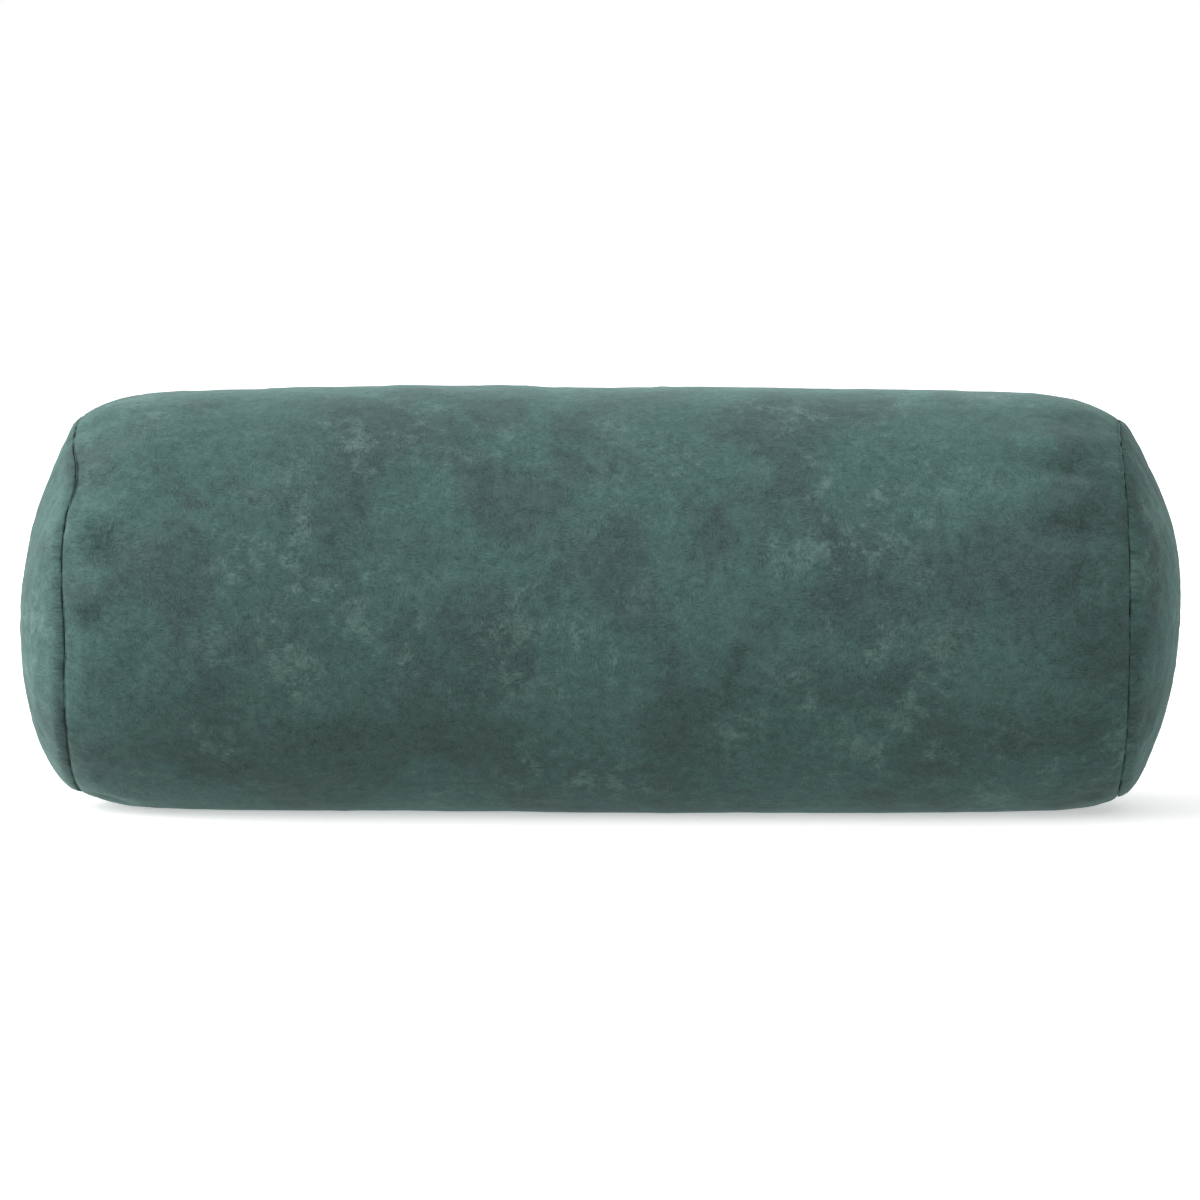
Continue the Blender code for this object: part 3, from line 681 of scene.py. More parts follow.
def end_shape(side, ring, angle, inset=0.0):
    """A point of an end panel's face, from its tip (ring 0) to its seam (ring 1), inset from the outer face."""
    rise = (DOME_HEIGHT - inset) * dome_share(ring, angle)
    rise = rise - end_dents(side, ring, angle) - end_gathers(side, ring, angle)
    if END_SWELL[side] is not None:
        rise = rise + sample(END_SWELL[side], np.asarray(ring), np.asarray(angle) / TAU)
    x = SEAM_X + GAP / 2 + rise - seam_waviness(angle, side) * ring ** 3
    return end_point(side, x, (seam_radius(angle, side) - inset) * ring, ring, angle)


def ring_steps(first, step, growth, largest):
    """Rings from near a seam to near the tip, closer together by the seam."""
    rings = [first]
    while rings[-1] > 0.03:
        rings.append(rings[-1] - step)
        step = min(step * growth, largest)
    return rings


def add_end_cloth(name, side, rows, tip, thickness, material, node, corner=None):
    """A round panel with its thickness, through rows of points from its edge to its tip."""
    middle = np.array(rows if len(rows) % 2 else rows[:-1])
    normal = -side * normals_of(middle, around=True)
    outer = middle + normal * thickness / 2
    if corner is not None:
        outer = fill_seam(outer, corner, side)
    inner = (middle - normal * thickness / 2)[::2, ::2]
    out = np.array([side * thickness / 2, 0, 0])
    vertices = np.concatenate([outer.reshape(-1, 3), inner.reshape(-1, 3), [tip + out, tip - out]])
    (fine_rows, columns), (few_rows, few_columns) = outer.shape[:2], inner.shape[:2]
    start, end = fine_rows * columns, len(vertices) - 2
    faces = grid_faces(fine_rows, columns, 0, True) + grid_faces(few_rows, few_columns, start, True)
    faces += rim_faces(range(columns), range(start, start + few_columns))
    faces += fan(start - columns, columns, end) + fan(end - few_columns, few_columns, end + 1)
    place = np.stack([vertices[:, 1], vertices[:, 2], np.full(len(vertices), side * 0.4)], axis=-1)
    return add_piece(name, vertices, faces, material, place, node)


def add_velvet_end(name, side, node, material):
    """An end panel, turned in at its seam."""
    angle = round_angles(240)
    corner_radius = seam_radius(angle, side) - HALF - 0.2 * MM
    low_end = corner_radius - 2 * MM
    flat_x = side * (SEAM_X + GAP / 2 + HALF - seam_waviness(angle, side))
    first_ring = 0.985
    start, corner = around_axis(flat_x, low_end, angle), around_axis(flat_x, corner_radius, angle)
    end = end_shape(side, first_ring, angle, HALF)
    rows = [around_axis(flat_x, ALLOWANCE_RADIUS + (low_end - ALLOWANCE_RADIUS) * step / 4, angle)
            for step in range(4)]
    rows += [curved(start, corner, end, step / 5) for step in range(5)]
    for ring in ring_steps(first_ring, 0.008, 1.09, 0.026):
        row = end_shape(side, ring, angle, HALF)
        row[:, 0] += side * fine_relief(row)
        rows.append(row)
    tip = end_shape(side, 0.0, 0.0, HALF)
    square = around_axis(flat_x - side * (HALF + (GAP - PILE_GAP) / 2), corner_radius + HALF - 0.2 * MM, angle)
    piece = add_end_cloth(name, side, rows, tip, VELVET, material, node, square)
    # Painted shade in the end's gathers and along its seam line, kept for the velvet's colour
    _, radius, angle = places_of(piece)
    from_seam = seam_radius(angle, side) - radius
    paint_fold_shade(piece, end_gathers(side, radius / SEAM_RADIUS, angle) + seam_line_painted_shade(from_seam, side))


# ---------------------------------------------------------------- inner case and filling

def case_point(x, angle, depth):
    """A point of the case's tube at a depth inside it: just inside the cover, drawn in to its own end seams."""
    straight = SEAM_X - SHOULDER
    into = np.maximum(np.abs(x) - straight, 0) / (CASE_SEAM_X - straight)
    narrowing = outer_radius(np.sign(x) * CASE_SEAM_X, angle) - CASE_DEPTH - CASE_SEAM_RADIUS
    radius = outer_radius(x, angle) - CASE_DEPTH - narrowing * into ** 2 - depth
    behind_zip = outer_radius(x, ZIP_ANGLE) - CASE_AT_ZIP - depth
    out = np.minimum(radius * np.cos(angle - ZIP_ANGLE), behind_zip)
    return settle(along_zip(x, out, radius * np.sin(angle - ZIP_ANGLE)), floor=VELVET + GAP + depth)


def case_end(side, ring, angle, depth):
    """A point of the case's end at a depth inside it, from its tip (ring 0) to its seam (ring 1)."""
    height = TIP_X - VELVET - CASE_TIP_GAP - CASE_SEAM_X
    rise = (height - depth) * dome_share(ring, angle) - end_dents(side, ring, angle)
    return end_point(side, CASE_SEAM_X + GAP / 2 + rise, (CASE_SEAM_RADIUS - depth) * ring, ring, angle)


def add_inner_case(material):
    """A plain cotton tube, closed along a seam above the zip, and two round ends."""
    depth = CASE_CLOTH / 2
    first = ZIP_ANGLE + (CLOSING_LINE + GAP) / BODY_RADIUS
    angle = np.linspace(first, first + TAU - 1.5 * GAP / BODY_RADIUS, 181)
    half = CASE_SEAM_X - np.array([*np.arange(0.4, 20, 1.6), *np.arange(20, 262, 4.4)]) * MM
    middle = np.array([case_point(x, angle, depth) for x in (*-half, *half[-2::-1])])
    ups = (angle - ZIP_ANGLE) * BODY_RADIUS
    place = np.stack(np.broadcast_arrays(middle[..., 0], ups, 0.3), axis=-1)
    add_cloth("case_tube", middle, CASE_CLOTH, material, place, "inner_tube")
    angle = round_angles(160)
    for name, side in ENDS:
        rows = [case_end(side, ring, angle, depth) for ring in [1.0, 0.997, *ring_steps(0.99, 0.012, 1.1, 0.035)]]
        tip = case_end(side, 0.0, 0.0, depth)
        add_end_cloth(f"case_end_{name}", side, rows, tip, CASE_CLOTH, material, f"inner_end_{name}")


def add_filling(material):
    """The lofty fibre inside the case, as one body with an uneven surface."""
    depth = CASE_CLOTH + 2 * GAP
    angle = round_angles(150)
    rings = ring_steps(0.985, 0.02, 1.1, 0.04)
    half = CASE_SEAM_X - np.array([0.4, 2, 5, 9, 14, *np.arange(20, 262, 5.5)]) * MM
    left = [case_end(-1, ring, angle, depth) for ring in rings[::-1]]
    tube = [case_point(x, angle, depth) for x in (*-half, *half[::-1])]
    right = [case_end(1, ring, angle, depth) for ring in rings]
    rows = np.array([*left, *tube, *right])
    tufts = 0.5 * MM * (1 + 0.5 * ripple(rows, 0.02, 51) + 0.35 * ripple(rows, 0.008, 52))
    rows = rows + normals_of(rows, around=True) * tufts[..., None]
    vertices, faces = capped(rows, [case_end(side, 0.0, 0.0, depth + 0.5 * MM) for side in (-1, 1)])
    add_piece("filling", vertices, faces, material, vertices, "fibre_filling")


# ---------------------------------------------------------------- threads

def add_thread(name, paths, radius, material, node, closed=False, tapered=True):
    """Threads that follow paths of points, one curve for all of them; an open one narrows at its ends."""
    curve = bpy.data.curves.new(name, "CURVE")
    curve.dimensions = "3D"
    curve.bevel_depth = radius
    curve.bevel_resolution = 2
    curve.use_fill_caps = not closed
    for path in paths:
        spline = curve.splines.new("POLY")
        spline.points.add(len(path) - 1)
        for number, point in enumerate(path):
            spline.points[number].co = (*point, 1)
            if tapered and not closed and number in (0, len(path) - 1):
                spline.points[number].radius = 0.45
        spline.use_cyclic_u = closed
        spline.use_smooth = True
    show(name, curve, material, node)


def add_seam_stitching(material, case_material):
    """Overlocking round the end seams of the cover and of the inner case, and stitches along the long seam."""
    angle = round_angles(360)
    zigzag = np.where(np.arange(360) % 2, 1.0, -1.0)
    for name, side in ENDS:
        x = side * (SEAM_X - seam_waviness(angle, side)) + zigzag * VELVET
        points = around_axis(x, ALLOWANCE_RADIUS - GAP - THREAD, angle)
        add_thread(f"end_seam_thread_{name}", [points], THREAD, material,
                   f"end_seam_stitching_{name}", closed=True)
        tube_side = case_point(side * (CASE_SEAM_X - 1 * MM), angle, 0)
        end_side = case_end(side, 0.99, angle, 0)
        away = tube_side - np.array([0, 0, AXIS_HEIGHT])
        away[:, 0] = 0
        away /= np.linalg.norm(away, axis=1, keepdims=True)
        points = np.where(zigzag[:, None] > 0, tube_side, end_side) + away * (GAP + THREAD)
        add_thread(f"case_seam_thread_{name}", [points], THREAD, case_material,
                   f"inner_end_stitching_{name}", closed=True)
        x = np.arange(SEAM_X - SHOULDER + 3 * MM, SEAM_X - 8 * MM, 1.5 * MM)
        down = np.where(np.arange(len(x)) % 2, 0.8, -0.8) * MM
        path = zip_point(side * x, down, outer_radius(x, ZIP_ANGLE) - BODY_RADIUS - TAPE_OUTER - THREAD)
        add_thread(f"long_seam_thread_{name}", [path], THREAD, material, f"long_seam_stitching_{name}")
    share = np.arange(7) / 6
    down = 1.6 * MM - 3.2 * MM * share - CLOSING_LINE
    lift = 0.35 * MM * np.sin(math.pi * share) - 0.1 * MM
    paths = [zip_point(x + (share - 0.5) * 2.2 * MM, down, lift - CASE_AT_ZIP + THREAD)
             for x in np.arange(-78, 80, 4) * MM]
    add_thread("case_closing_thread", paths, THREAD, case_material, "inner_closing_stitches")


# ---------------------------------------------------------------- zip

def zip_point(x, down, out):
    """A point by the zip: along it, down the back from its centre line, and out from the cover's outer face."""
    return along_zip(x, BODY_RADIUS + out, -down)


def zip_matrix(x, out):
    """Turns a shape drawn with x along the zip, y down the back and z outward into the row frame."""
    return Matrix.Translation(zip_point(x, 0, out)) @ Matrix.Rotation(ZIP_ANGLE - math.pi / 2, 4, "X")


def plate_mesh(outlines, thickness, edge):
    """A plate cut to closed outlines, the later ones holes, with rounded edges; all in millimetres."""
    curve = bpy.data.curves.new("outline", "CURVE")
    curve.dimensions = "2D"
    curve.fill_mode = "BOTH"
    curve.extrude = (thickness / 2 - edge) * MM
    curve.bevel_depth = edge * MM
    curve.bevel_resolution = 2
    curve.offset = -edge * MM
    for outline in outlines:
        spline = curve.splines.new("POLY")
        spline.points.add(len(outline) - 1)
        for place, (x, y) in zip(spline.points, outline):
            place.co = (x * MM, y * MM, 0, 1)
        spline.use_cyclic_u = True
    holder = bpy.data.objects.new("outline", curve)
    mesh = bpy.data.meshes.new_from_object(holder)
    bpy.data.objects.remove(holder)
    bpy.data.curves.remove(curve)
    return mesh


def arc(x, y, radius, turns):
    return [(x + radius * math.cos(turn), y + radius * math.sin(turn)) for turn in turns]


def rounded(low, high, radius):
    """A rectangle's outline with rounded corners."""
    (left, bottom), (right, top) = [c + radius for c in low], [c - radius for c in high]
    points = []
    for corner, (x, y) in enumerate(((right, top), (left, top), (left, bottom), (right, bottom))):
        points += arc(x, y, radius, [(corner + step / 4) * math.pi / 2 for step in range(5)])
    return points


def join_meshes(name, parts, material, node, body="cover"):
    """One piece from several meshes, each with its own matrix into the row frame."""
    shape = bmesh.new()
    for mesh, matrix in parts:
        mesh.transform(matrix)
        shape.from_mesh(mesh)
        bpy.data.meshes.remove(mesh)
    bmesh.ops.remove_doubles(shape, verts=shape.verts, dist=0.001 * MM)
    bmesh.ops.recalc_face_normals(shape, faces=shape.faces)
    joined = bpy.data.meshes.new(name)
    shape.to_mesh(joined)
    shape.free()
    joined.shade_smooth()
    joined.set_sharp_from_angle(angle=math.radians(40))
    show(name, joined, material, node, body)


def add_coils(material):
    """Nylon coils: in each, one wire wound in flat loops, half a pitch apart from its neighbour's."""
    pitch, wire, steps = 0.94 * MM, 0.32 * MM, 10
    turns = int((TEETH_END - TEETH_START - 2 * wire) / pitch) - 1
    number = np.arange(turns * steps)
    turn = TAU * number / steps
    for name, side in EDGES:
        lead = pitch * number / steps + (pitch / 2 if side > 0 else 0)
        down = side * (GAP / 2 + TEETH_WIDTH / 2 + (TEETH_WIDTH / 2 - wire) * np.cos(turn))
        out = -(TEETH_OUTER + TEETH_HEIGHT / 2) + (TEETH_HEIGHT / 2 - wire) * np.sin(turn)
        path = zip_point(TEETH_START + wire + lead, down, out)
        add_thread(f"coil_{name}", [path], wire, material, f"zip_teeth_{name}", tapered=False)


def add_tapes(material):
    """Woven tapes with fine ribs along them and a thicker cord at the inner edge."""
    across = np.linspace(TAPE_EDGE, TAPE_EDGE + TAPE_WIDTH, 47)
    rib = np.where(np.arange(47) % 2, 0.0, 0.07 * MM)
    rib[:5] = 0
    top = -TAPE_OUTER - 0.03 * MM - rib
    bottom = -TAPE_OUTER - TAPE_THICKNESS + rib * 0.6
    top[0] = top[-1] = -TAPE_OUTER - TAPE_THICKNESS * 0.35
    bottom[0] = bottom[-1] = -TAPE_OUTER - TAPE_THICKNESS * 0.65
    outs = np.concatenate([top, bottom[::-1]])
    stations = np.linspace(-ZIP_HALF - 8 * MM, ZIP_HALF + 8 * MM, 90)
    columns = len(outs)
    faces = grid_faces(len(stations), columns, 0, True)
    for base in (0, (len(stations) - 1) * columns):
        faces += [[base + i, base + i + 1, base + columns - 2 - i, base + columns - 1 - i]
                  for i in range(columns // 2 - 1)]
    for name, side in EDGES:
        downs = np.concatenate([across, across[::-1]]) * side
        rows = zip_point(stations[:, None], downs, outs)
        place = np.stack(np.broadcast_arrays(rows[..., 0], np.abs(downs), 0.0), axis=-1)
        add_piece(f"woven_tape_{name}", rows.reshape(-1, 3), faces, material, place, f"zip_tape_{name}")


def add_zip_threads(material):
    """Top stitching on both sides of the slot, and dense bar tacks across its ends."""
    end, length = ZIP_HALF + SLOT_TAPER / 2, 3.2 * MM
    count = int(2 * end / length)
    share = np.arange(6) / 5
    lift = -0.45 * MM + 0.75 * MM * np.sin(math.pi * share) ** 0.7
    for name, side in EDGES:
        paths = [zip_point(-end + (number + 0.08 + 0.84 * share) * 2 * end / count, side * STITCH_LINE, lift)
                 for number in range(count)]
        add_thread(f"zip_top_stitching_{name}", paths, 0.24 * MM, material, f"zip_stitching_{name}")
    turn, step = np.repeat(np.arange(14), 9), np.tile(np.arange(9), 14)
    down = (5 - 1.25 * step) * (1 - 2 * (turn % 2))
    lift = (0.34 * (1 - (np.abs(down) / 5) ** 6) - 0.1) * MM
    for name, side in ENDS:
        path = zip_point(side * (end + (0.34 * turn + 0.02 * step - 2.1) * MM), down * MM, lift)
        add_thread(f"bar_tack_thread_{name}", [path], THREAD, material, f"bar_tack_{name}", tapered=False)


def add_stops(material):
    """Small crimped clips of metal at both ends of the teeth."""
    half = 1.25
    for name, node, low, high, corner, edge, start in (
        ("upper", "zip_top_stop_upper", -2.5, -0.8, 0.4, 0.3, TOP_STOP_X),
        ("lower", "zip_top_stop_lower", 0.8, 2.5, 0.4, 0.3, TOP_STOP_X),
        ("end", "zip_bottom_stop", -2.1, 2.1, 0.5, 0.35, BOTTOM_STOP_X),
    ):
        clip = plate_mesh([rounded((-half, low), (half, high), corner)], TEETH_HEIGHT / MM, edge)
        matrix = zip_matrix(start + half * MM, -TEETH_OUTER - TEETH_HEIGHT / 2)
        join_meshes(f"zip_clip_{name}", [(clip, matrix)], material, node)


def add_slider(material):
    """Two plates with wide shoulders, the blade and the walls between them, and the crown."""
    plate = 1 * MM
    shoulders = [(4.5, 2.2), (3.5, 3.2), (0, 3.2), (-3.5, 2.7), (-4.5, 1.7)]
    shield = shoulders + [(x, -y) for x, y in reversed(shoulders)]
    blade = rounded((1, -0.11), (4, 0.11), 0.06)        # passes between the closed rows
    walls = [rounded((-1.2, low), (4.3, low + 0.67), 0.25) for low in (-3.12, 2.45)]
    high, low = -PLATE_OUTER - plate + 0.2 * MM, -BASE_OUTER - 0.2 * MM
    wall_low = -TEETH_OUTER - TEETH_HEIGHT + GAP
    parts = [
        (plate_mesh([outline], (top - bottom) / MM, edge), zip_matrix(SLIDER_X, (top + bottom) / 2))
        for outline, top, bottom, edge in (
            (shield, -PLATE_OUTER, -PLATE_OUTER - plate, 0.28), (shield, -BASE_OUTER, -BASE_OUTER - plate, 0.28),
            (blade, high, low, 0.02), (walls[0], high, wall_low, 0.1), (walls[1], high, wall_low, 0.1),
        )
    ]
    parts.append((crown_mesh(), zip_matrix(SLIDER_X, -PLATE_OUTER)))
    join_meshes("slider_body", parts, material, "zip_slider", "slider")


def crown_mesh():
    """The strap over the slider that holds the pull, drawn from the side and given its width."""
    outer, inner, height, arch, low = 2.45, 1.25, 4.2, 1.0, -0.2
    turns = [math.pi / 2 * step / 6 for step in range(7)]
    big = arc(outer - 1.6, height - 1.6, 1.6, turns)
    small = arc(inner - 0.7, height - arch - 0.7, 0.7, turns)
    outside = [(outer, low), *big, *[(-x, z) for x, z in reversed(big)], (-outer, low)]
    inside = [(-inner, low), *[(-x, z) for x, z in small], *reversed(small), (inner, low)]
    mesh = plate_mesh([outside + inside], 1.4, 0.25)
    mesh.transform(Matrix.Rotation(math.pi / 2, 4, "X"))
    return mesh


def add_pull(material):
    """The pull tab: a rounded plate with an eye for the crown, and a small hole near its end."""
    neck, wide = 2.0, 2.6
    tip = arc(-19.4, 0, wide, [math.pi * (step / 16 + 0.5) for step in range(17)])
    outline = [(0.5, -neck), (0.5, neck), (-4.5, neck), (-7.5, wide), *tip, (-7.5, -wide), (-4.5, -neck)]
    eye = rounded((-3.7, -1.1), (-0.5, 1.1), 0.3)
    hole = arc(-18.6, 0, 1.2, round_angles(24))
    part = (plate_mesh([outline, eye, hole], 1, 0.28), zip_matrix(SLIDER_X, PULL_OUT))
    join_meshes("pull_tab", [part], material, "zip_pull_tab", "pull")


def add_label(material):
    """A blank satin label behind the lower tape, curling a little at its free edge."""
    xs, downs = np.linspace(-150, -110, 41)[:, None] * MM, np.linspace(3.9, 23.9, 21) * MM
    curl = 0.05 * MM * np.linspace(0, 1, 21) * np.sin(xs / (6 * MM))
    middle = zip_point(xs, downs, -(TAPE_OUTER + TAPE_THICKNESS + GAP + 0.15 * MM) - curl)
    place = np.stack(np.broadcast_arrays(xs, downs, 0.0), axis=-1)
    piece = add_cloth("sewn_label", middle, 0.25 * MM, material, place, "care_label")


# ---------------------------------------------------------------- materials

VELVET_TEAL = (0.062, 0.122, 0.110)
VELVET_DULL = (0.054, 0.093, 0.087)
VELVET_LIGHT = (0.105, 0.172, 0.157)


class Nodes:
    """Short calls that build one material's nodes."""

    def __init__(self, name, roughness=0.8, metallic=0.0, sheen=0.0):
        self.material = bpy.data.materials.new(name)
        self.material.use_nodes = True
        self.tree = self.material.node_tree
        self.shader = self.tree.nodes["Principled BSDF"]
        self.shader.inputs["Roughness"].default_value = roughness
        self.shader.inputs["Metallic"].default_value = metallic
        self.shader.inputs["Sheen Weight"].default_value = sheen

    def add(self, kind, inputs=(), **settings):
        node = self.tree.nodes.new("ShaderNode" + kind)
        for key, value in settings.items():
            setattr(node, key, value)
        for key, value in dict(inputs).items():
            if isinstance(value, bpy.types.NodeSocket):
                self.tree.links.new(value, node.inputs[key])
            else:
                node.inputs[key].default_value = value
        return node

    def cloth_place(self, stretch=(1, 1, 1)):
        place = self.add("Attribute", attribute_name="cloth_place").outputs["Vector"]
        return self.stretch(place, stretch)

    def object_place(self, stretch=(1, 1, 1)):
        return self.stretch(self.add("TexCoord").outputs["Object"], stretch)

    def stretch(self, vector, by):
        return self.add("VectorMath", {0: vector, 1: by}, operation="MULTIPLY").outputs[0]

    def noise(self, vector, scale, detail=3.0, roughness=0.5, distortion=0.0):
        inputs = {"Vector": vector, "Scale": scale, "Detail": detail, "Roughness": roughness, "Distortion": distortion}
        return self.add("TexNoise", inputs).outputs["Fac"]

    def wave(self, vector, scale, direction, **inputs):
        inputs = {"Vector": vector, "Scale": scale, **inputs}
        return self.add("TexWave", inputs, bands_direction=direction).outputs["Fac"]

    def fit(self, value, low, high, to_low=0.0, to_high=1.0, smooth=False):
        kind = "SMOOTHSTEP" if smooth else "LINEAR"
        inputs = {"Value": value, "From Min": low, "From Max": high, "To Min": to_low, "To Max": to_high}
        return self.add("MapRange", inputs, interpolation_type=kind).outputs["Result"]

    def sum(self, a, b, operation="ADD"):
        return self.add("Math", {0: a, 1: b}, operation=operation).outputs[0]

    def mix(self, share, a, b, blend="MIX"):
        node = self.add("Mix", data_type="RGBA", blend_type=blend)
        for socket, value in ((node.inputs[0], share), (node.inputs[6], a), (node.inputs[7], b)):
            if isinstance(value, bpy.types.NodeSocket):
                self.tree.links.new(value, socket)
            else:
                socket.default_value = value if isinstance(value, float) else (*value, 1)
        return node.outputs[2]

    def bump(self, height, strength, distance, before=None):
        inputs = {"Height": height, "Strength": strength, "Distance": distance}
        if before:
            inputs["Normal"] = before
        return self.add("Bump", inputs).outputs["Normal"]

    def finish(self, colour=None, roughness=None, normal=None):
        for key, value in (("Base Color", colour), ("Roughness", roughness), ("Normal", normal)):
            if value is not None:
                self.tree.links.new(value, self.shader.inputs[key])
        return self.material


def velvet_material():
    """Crushed velvet: large dull and teal areas, feathery light patches, a nap laid in changing directions, and
    painted shade in folds and seam lines with painted highlight on ridges.
    """
    n = Nodes("velvet", sheen=0.33)
    place = n.cloth_place()
    areas = n.noise(place, 15, 4, 0.55, 0.6)
    where = n.noise(place, 11, 2, 0.5)
    along = n.noise(n.cloth_place((0.4, 1, 1)), 1080, 4, 0.66, 0.5)
    across = n.noise(n.cloth_place((1, 0.45, 1)), 1080, 4, 0.66, 0.5)
    laid = n.fit(n.noise(place, 60, 4, 0.6), 0.44, 0.56)
    nap = n.add("Mix", {0: laid, 2: along, 3: across}, data_type="FLOAT").outputs[0]
    patches = n.noise(place, 36, 12, 0.74, 0.3)
    mottle = n.noise(place, 170, 6, 0.68, 0.4)
    brushed = n.sum(n.sum(patches, n.fit(nap, 0.3, 0.7, -0.05, 0.05)), n.fit(mottle, 0.3, 0.7, -0.05, 0.05))
    dull = n.fit(areas, 0.42, 0.60, smooth=True)
    feather = n.fit(brushed, 0.525, 0.63)
    chosen = n.sum(feather, n.fit(where, 0.42, 0.60, smooth=True), "MULTIPLY")
    colour = n.mix(dull, VELVET_TEAL, VELVET_DULL)
    colour = n.mix(n.sum(chosen, 0.62, "MULTIPLY"), colour, VELVET_LIGHT)
    # Painted shade: darker where a vertex lies deep in a fold or in an end seam's line, a painted highlight on ridges
    # and on the roll beside each seam
    fold = n.add("Attribute", attribute_name="fold").outputs["Fac"]
    shade = n.sum(n.fit(mottle, 0.3, 0.7, -0.24, 0.24), n.fit(nap, 0.3, 0.7, -0.36, 0.36))
    shade = n.sum(shade, n.fit(fold, -2.0, 4.0, 0.17, -0.34))
    shade = n.sum(n.sum(shade, n.fit(patches, 0.3, 0.7, -0.13, 0.13)), 1.0)
    colour = n.add("VectorMath", {0: colour, "Scale": shade}, operation="SCALE").outputs[0]
    lumps = n.bump(n.noise(place, 110, 6, 0.66), 0.5, 0.9 * MM)
    normal = n.bump(nap, 0.5, 0.3 * MM, lumps)
    n.shader.inputs["Specular IOR Level"].default_value = 0.2
    n.shader.inputs["Sheen Roughness"].default_value = 0.4
    n.shader.inputs["Sheen Tint"].default_value = (0.55, 0.85, 0.8, 1)
    return n.finish(colour, n.fit(patches, 0.3, 0.7, 0.94, 0.8), normal)


def thread_material(name, colour, light):
    """Twisted sewing thread: fine slanted plies with a soft shine."""
    n = Nodes(name, roughness=0.5, sheen=0.25)
    place = n.object_place()
    plies = n.wave(place, 900, "DIAGONAL", Distortion=1.5, Detail=2.0)
    tone = n.noise(place, 180, 3)
    shade = n.mix(n.fit(tone, 0.3, 0.7), colour, light)
    shade = n.mix(n.fit(plies, 0.2, 0.9, 0.35, 0.0), shade, tuple(c * 0.45 for c in colour))
    return n.finish(shade, n.fit(plies, 0, 1, 0.65, 0.42), n.bump(plies, 0.5, 0.06 * MM))


def tape_material():
    """Herringbone tape: two directions of slanted yarn in narrow stripes."""
    n = Nodes("zip_tape", roughness=0.8, sheen=0.2)
    place = n.cloth_place()
    right = n.wave(place, 520, "DIAGONAL", Distortion=0.4)
    left = n.wave(n.stretch(place, (1, -1, 1)), 520, "DIAGONAL", Distortion=0.4)
    which = n.fit(n.wave(place, 80, "Y"), 0.45, 0.55)
    yarn = n.add("Mix", {0: which, 2: right, 3: left}, data_type="FLOAT").outputs[0]
    tone = n.noise(place, 240, 4)
    colour = n.mix(n.fit(tone, 0.3, 0.7), (0.034, 0.066, 0.062), (0.050, 0.092, 0.086))
    colour = n.mix(n.fit(yarn, 0.1, 0.9, 0.4, 0.0), colour, (0.016, 0.034, 0.032))
    return n.finish(colour, n.fit(yarn, 0, 1, 0.9, 0.7), n.bump(yarn, 0.6, 0.08 * MM))


def coil_material():
    """Drawn nylon with faint drawing lines and dust in it."""
    n = Nodes("zip_coil", roughness=0.35)
    place = n.object_place()
    lines = n.noise(n.stretch(place, (1, 6, 6)), 500, 3)
    dust = n.noise(place, 90, 5, 0.65)
    colour = n.mix(n.fit(lines, 0.3, 0.7), (0.030, 0.060, 0.056), (0.044, 0.082, 0.076))
    colour = n.mix(n.fit(dust, 0.5, 0.75, 0.0, 0.35), colour, (0.09, 0.12, 0.11))
    return n.finish(colour, n.fit(dust, 0.35, 0.7, 0.3, 0.55), n.bump(lines, 0.2, 0.03 * MM))


def metal_material():
    """Nickel-plated zinc: brushed lines, small scratches and duller patches where it's handled."""
    n = Nodes("zip_metal", roughness=0.3, metallic=1.0)
    place = n.object_place()
    brushed = n.noise(n.stretch(place, (1, 14, 14)), 260, 4, 0.6)
    worn = n.noise(place, 320, 4, 0.6)
    scratches = n.noise(n.stretch(place, (10, 1, 3)), 300, 5, 0.7, 0.8)
    colour = n.mix(n.fit(worn, 0.35, 0.7), (0.46, 0.455, 0.44), (0.30, 0.30, 0.29))
    colour = n.mix(n.fit(scratches, 0.62, 0.7, 0.0, 0.4), colour, (0.62, 0.62, 0.61))
    roughness = n.sum(n.fit(brushed, 0.3, 0.7, 0.2, 0.34), n.fit(worn, 0.4, 0.7, 0.0, 0.16))
    return n.finish(colour, roughness, n.bump(brushed, 0.25, 0.03 * MM, n.bump(scratches, 0.15, 0.03 * MM)))


def plain_weave_material(name, light, dark, threads, sheen=0.1):
    """Plain woven cloth: threads over and under each other, slubs, and faint creases."""
    n = Nodes(name, roughness=0.85, sheen=sheen)
    place = n.cloth_place()
    warp, weft = [n.wave(place, threads, direction, Distortion=0.5, Detail=1.0) for direction in "XY"]
    weave = n.sum(warp, weft, "MULTIPLY")
    slubs = n.noise(n.stretch(place, (1, 8, 1)), 120, 4)
    creases = n.noise(place, 22, 5, 0.6, 0.8)
    colour = n.mix(n.fit(weave, 0.0, 0.6), dark, light)
    colour = n.mix(n.fit(slubs, 0.45, 0.75, 0.0, 0.35), colour, dark)
    creased = n.bump(creases, 0.3, 0.8 * MM)
    return n.finish(colour, n.fit(weave, 0, 1, 0.95, 0.75), n.bump(weave, 0.5, 0.1 * MM, creased))


def fibre_material():
    """Hollow polyester fibre: tangled fine strands."""
    n = Nodes("filling", roughness=0.95, sheen=0.4)
    place = n.object_place()
    strands = n.noise(n.stretch(place, (3, 1, 1)), 420, 8, 0.75, 3.0)
    clumps = n.noise(place, 45, 5, 0.6, 0.5)
    colour = n.mix(n.fit(strands, 0.3, 0.7), (0.66, 0.66, 0.655), (0.9, 0.9, 0.89))
    colour = n.mix(n.fit(clumps, 0.35, 0.65, 0.25, 0.0), colour, (0.6, 0.6, 0.6))
    lumps = n.bump(clumps, 0.5, 2 * MM)
    return n.finish(colour, n.fit(strands, 0, 1, 1.0, 0.85), n.bump(strands, 0.7, 0.5 * MM, lumps))


# ---------------------------------------------------------------- studio

